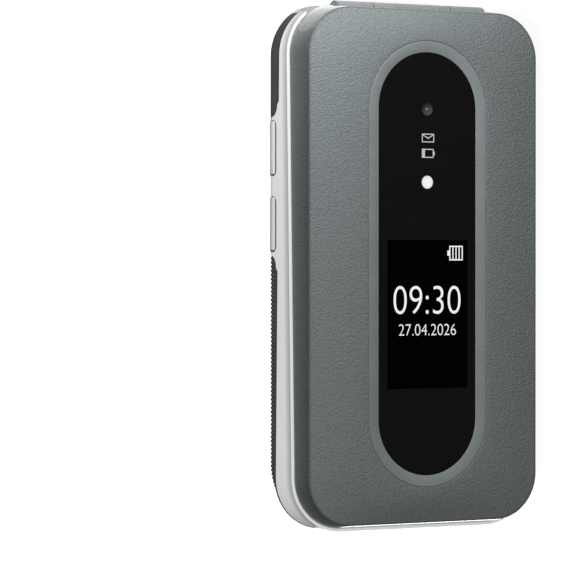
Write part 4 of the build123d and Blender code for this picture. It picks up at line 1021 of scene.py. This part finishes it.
def flat_piece(name, polygons, height, material, body, lean=0.0):
    """Thin printed or lit shapes at a height, or on a plane that leans down to the hinge end."""
    vertices, faces = [], []
    for polygon in polygons:
        first, count = len(vertices), len(polygon)
        for rise in (0.0, MARK_THICKNESS):
            vertices += [(x, y, height + rise - y * math.tan(lean)) for x, y in polygon]
        faces.append(tuple(range(first + count - 1, first - 1, -1)))
        faces.append(tuple(range(first + count, first + 2 * count)))
        for index in range(first, first + count):
            beside = first + (index - first + 1) % count
            faces.append((index, beside, beside + count, index + count))
    return mesh_piece(name, vertices, faces, material, body)


def rectangle(low, high):
    """Corners of a rectangle, in turn."""
    return [(low[0], low[1]), (high[0], low[1]), (high[0], high[1]), (low[0], high[1])]


def frame_bars(low, high, line):
    """Four bars round a rectangle, inside its edges."""
    return [
        rectangle(low, (high[0], low[1] + line)),
        rectangle((low[0], high[1] - line), high),
        rectangle((low[0], low[1] + line), (low[0] + line, high[1] - line)),
        rectangle((high[0] - line, low[1] + line), (high[0], high[1] - line)),
    ]


def figures(name, words, low, high, height, material, body, lean=0.0, stretch=True):
    """Figures fitted into a box, or into its height alone."""
    data = bpy.data.curves.new(name, "FONT")
    data.body = words
    data.offset = -FIGURE_THINNING
    drawn = placed(name, data)
    bpy.context.view_layer.update()
    mesh = bpy.data.meshes.new_from_object(drawn)
    bpy.data.objects.remove(drawn)
    places = [v.co.copy() for v in mesh.vertices]
    left, right = min(p.x for p in places), max(p.x for p in places)
    bottom, top = min(p.y for p in places), max(p.y for p in places)
    if not stretch:
        half = (right - left) / (top - bottom) * (high[1] - low[1]) / 2
        middle = (low[0] + high[0]) / 2
        low, high = (middle - half, low[1]), (middle + half, high[1])
    for vertex in mesh.vertices:
        x = low[0] + (vertex.co.x - left) / (right - left) * (high[0] - low[0])
        y = low[1] + (vertex.co.y - bottom) / (top - bottom) * (high[1] - low[1])
        vertex.co = (x, y, height - y * math.tan(lean))
    return finished_piece(name, mesh, material, body)


def battery_bars():
    """Battery sign on the display: a frame in slots, with its terminal at the left."""
    (left, bottom), (right, top) = BATTERY_SIGN
    line = BATTERY_SIGN_LINE
    bars = frame_bars(*BATTERY_SIGN, line)
    pitch = (right - left - line) / BATTERY_SIGN_SLOTS
    for index in range(1, BATTERY_SIGN_SLOTS):
        x = left + index * pitch
        bars.append(rectangle((x, bottom + line), (x + line, top - line)))
    reach, width = BATTERY_SIGN_TERMINAL
    middle = (bottom + top) / 2
    bars.append(rectangle((left - reach, middle - width / 2), (left, middle + width / 2)))
    return bars


def envelope_bars():
    """Envelope sign: a frame with a flap that folds down to its middle."""
    (left, bottom), (right, top) = ENVELOPE_BOX
    bars = frame_bars(*ENVELOPE_BOX, ENVELOPE_LINE)
    centre = (left + right) / 2
    fold = top - ENVELOPE_FLAP * (top - bottom)
    over = fold + ENVELOPE_LINE * ENVELOPE_FOLD_LINE
    for x in (left, right):
        flap = [(x, top - ENVELOPE_LINE), (centre, fold), (centre, over), (x, top)]
        bars.append(flap if x < centre else flap[::-1])
    return bars


def charge_bars():
    """Battery sign by the camera: a frame filled at the left, with its terminal at the right."""
    (left, bottom), (right, top) = CHARGE_BOX
    line = CHARGE_LINE
    bars = frame_bars(*CHARGE_BOX, line)
    bars.append(rectangle((left + line, bottom + line), (left + CHARGE_FILL, top - line)))
    reach, width = CHARGE_TERMINAL
    middle = (bottom + top) / 2
    bars.append(rectangle((right, middle - width / 2), (right + reach, middle + width / 2)))
    return bars


def outer_signs():
    """Dark display field, clock, date and signs under the lid's window."""
    on_glass = GLASS_TOP + MARK_RISE
    signs = [
        flat_piece("display_field", [rectangle(*DISPLAY_FIELD)], GLASS_TOP, "display", "lid"),
        figures("clock_figures", CLOCK_TEXT, *CLOCK_BOX, on_glass, "light_mark", "lid"),
        figures("date_figures", DATE_TEXT, *DATE_BOX, on_glass, "light_mark", "lid"),
        flat_piece("display_battery_sign", battery_bars(), on_glass, "light_mark", "lid"),
        flat_piece("message_sign", envelope_bars(), on_glass, "printed_mark", "lid"),
        flat_piece("charge_sign", charge_bars(), on_glass, "printed_mark", "lid"),
    ]


def camera_eye():
    """Camera window with a rim, a stepped funnel and the small front lens in its middle."""
    low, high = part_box("camera_lens")
    centre = (low + high) / 2
    vertices = []
    for radius, rise in EYE_PROFILE:
        for step in range(EYE_STEPS):
            angle = 2 * math.pi * step / EYE_STEPS
            x, y = centre.x + radius * math.cos(angle), centre.y + radius * math.sin(angle)
            vertices.append((x, y, high.z + rise))
    faces = ring_faces(len(EYE_PROFILE), EYE_STEPS, False)
    faces.append(tuple(range(len(vertices) - EYE_STEPS, len(vertices))))
    piece = mesh_piece("camera_eye", vertices, faces, "camera", "lid", EYE_SHARP)
    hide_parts("camera_lens")


def key_top(name):
    """Centre of a key, its length, and its sloping top's height at the middle of the phone."""
    low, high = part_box(name)
    return (low + high) / 2, high.y - low.y, high.z + low.y * math.tan(PARTING_TILT) + MARK_RISE


def key_legends():
    """Figures on the digit keys, lying on each key's sloping top."""
    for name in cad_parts:
        if name.startswith("key_"):
            words = LEGENDS.get(name, name[-1])
            centre, length, lift = key_top(name)
            half = Vector((0.0, (STAR_SHARE if words == "*" else LEGEND_SHARE) * length / 2))
            piece = figures(
                f"legend_{name}", words, centre.xy - half, centre.xy + half, lift, "legend", name,
                PARTING_TILT, stretch=False,
            )


def function_marks():
    """Bars on the call, end and soft keys, and an arrow at each end of the rocker."""
    for name, (ink, *half) in KEY_MARKS.items():
        centre, _, lift = key_top(name)
        bar = rectangle(
            (centre.x - half[0], centre.y - half[1]), (centre.x + half[0], centre.y + half[1])
        )
        piece = flat_piece(f"mark_{name}", [bar], lift, ink, name, PARTING_TILT)
    name = "navigation_rocker"
    centre, length, lift = key_top(name)
    half_width, tall = ARROW
    arrows = []
    for side in (-1, 1):
        tip = centre.y + side * (length / 2 - ARROW_INSET)
        foot = tip - side * tall
        arrow = [(centre.x - half_width, foot), (centre.x + half_width, foot), (centre.x, tip)]
        arrows.append(arrow[::side])
    piece = flat_piece(f"mark_{name}", arrows, lift, "dark_ink", name, PARTING_TILT)


lid_shell()
bezel()
battery_cover()
outer_signs()
camera_eye()
key_legends()
function_marks()


# Stage, light and camera


def card(name, low, high, height, paint):
    """Flat rectangle of the stage that casts no shadow and sends no light onto the phone."""
    corners = [(x, y, height) for x, y in rectangle(low, high)]
    mesh = new_mesh(name, corners, [(0, 1, 2, 3)])
    mesh.materials.append(paint)
    made = placed(name, mesh)
    made.visible_diffuse = False
    made.visible_shadow = False
    return made


def floor():
    """Wide pale floor that glows a little, like a light table, and isn't seen in reflections."""
    paint = moulded("floor_paint", FLOOR_COLOUR, 0.9, grain=3 * MM, specular=0.0, vary=0.01)
    shader = paint.node_tree.nodes["Principled BSDF"]
    shader.inputs["Emission Color"].default_value = WHITE
    shader.inputs["Emission Strength"].default_value = FLOOR_GLOW
    paint.cycles.emission_sampling = "NONE"
    corner = (FLOOR_REACH, FLOOR_REACH)
    made = card("floor", (-FLOOR_REACH, -FLOOR_REACH), corner, -FLOOR_GAP, paint)
    made.visible_glossy = False


def reflector(name, low, high, strength):
    """Bright card on the floor, seen only in reflections."""
    made = card(name, low, high, CARD_HEIGHT, lit(f"{name}_glow", WHITE[:3], strength))
    made.visible_camera = False


def area_light(name, place, target, size, power, mirrored=True, only=None):
    """Lamp that faces a target, unseen by the camera. It can light some objects only."""
    data = bpy.data.lights.new(name, "AREA")
    data.shape = "RECTANGLE"
    data.size, data.size_y = size
    data.energy = power
    made = placed(name, data)
    made.location = place
    made.rotation_euler = (Vector(target) - Vector(place)).to_track_quat("-Z", "Y").to_euler()
    made.visible_camera = False
    made.visible_glossy = mirrored
    if only:
        lit_pieces = bpy.data.collections.new(f"{name}_on")
        for piece in only:
            lit_pieces.objects.link(piece)
        made.light_linking.receiver_collection = lit_pieces


def camera():
    """Camera at the photograph's viewing angle."""
    data = bpy.data.cameras.new("camera")
    data.lens = CAMERA_LENS
    data.clip_start, data.clip_end = CAMERA_CLIP
    forward = Vector((math.sin(CAMERA_SWING), 0, -math.cos(CAMERA_SWING)))
    aim = forward * math.cos(CAMERA_PITCH) - Vector((0, math.sin(CAMERA_PITCH), 0))
    right = Vector((math.cos(CAMERA_SWING), 0, math.sin(CAMERA_SWING)))
    made = placed("camera", data)
    made.location = CAMERA_PLACE
    made.rotation_mode = "QUATERNION"
    made.rotation_quaternion = Matrix((right, right.cross(aim), -aim)).transposed().to_quaternion()
    bpy.context.scene.camera = made


# The frame and the housing are lit apart, so that their corner by the hinge stays even
silver_parts = [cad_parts["base_frame"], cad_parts["rear_housing"]]
other_parts = [
    piece for piece in bpy.context.scene.objects
    if piece.type == "MESH" and piece not in silver_parts
]
floor()
camera()

# Lamps: place and target, size in metres, and watts
area_light(
    "key_light", (-0.045, 0.29, 0.11), (0, 0, 0.018), (0.12, 0.05), 1.15,
    mirrored=False, only=other_parts,
)
area_light(
    "corner_light", (-0.046, 0.082, 0.047), (-0.018, 0.045, 0.018), (0.03, 0.03), 0.056,
    mirrored=False, only=other_parts,
)
area_light(
    "wrap_light", (-0.055, 0.09, 0.06), (-0.015, 0.045, 0.018), (0.03, 0.03), 0.036,
    mirrored=False, only=silver_parts,
)
area_light("top_light", (-0.50, -0.12, 0.46), (0, 0, 0), (0.3, 0.4), 3.25, mirrored=False)
area_light("left_light", (-0.45, 0.20, -0.06), (0, 0, 0.008), (0.3, 0.3), 0.35)
area_light("ledge_light", (0, 0, 0.6), (0, 0, 0), (0.1, 0.1), 0.65, only=silver_parts[:1])

# Cards beside the free end and the hinge end, which the lid's edges mirror
reflector("free_end_card", (-17 * MM, -60 * MM), (40 * MM, -56 * MM), 5.0)
reflector("hinge_end_card", (-34 * MM, 56 * MM), (40 * MM, 68 * MM), 1.5)

world = bpy.data.worlds.new("studio")
world.use_nodes = True
background = world.node_tree.nodes["Background"]
background.inputs["Color"].default_value = WHITE
background.inputs["Strength"].default_value = WORLD_LIGHT
bpy.context.scene.world = world
bpy.context.scene.view_settings.view_transform = "Standard"
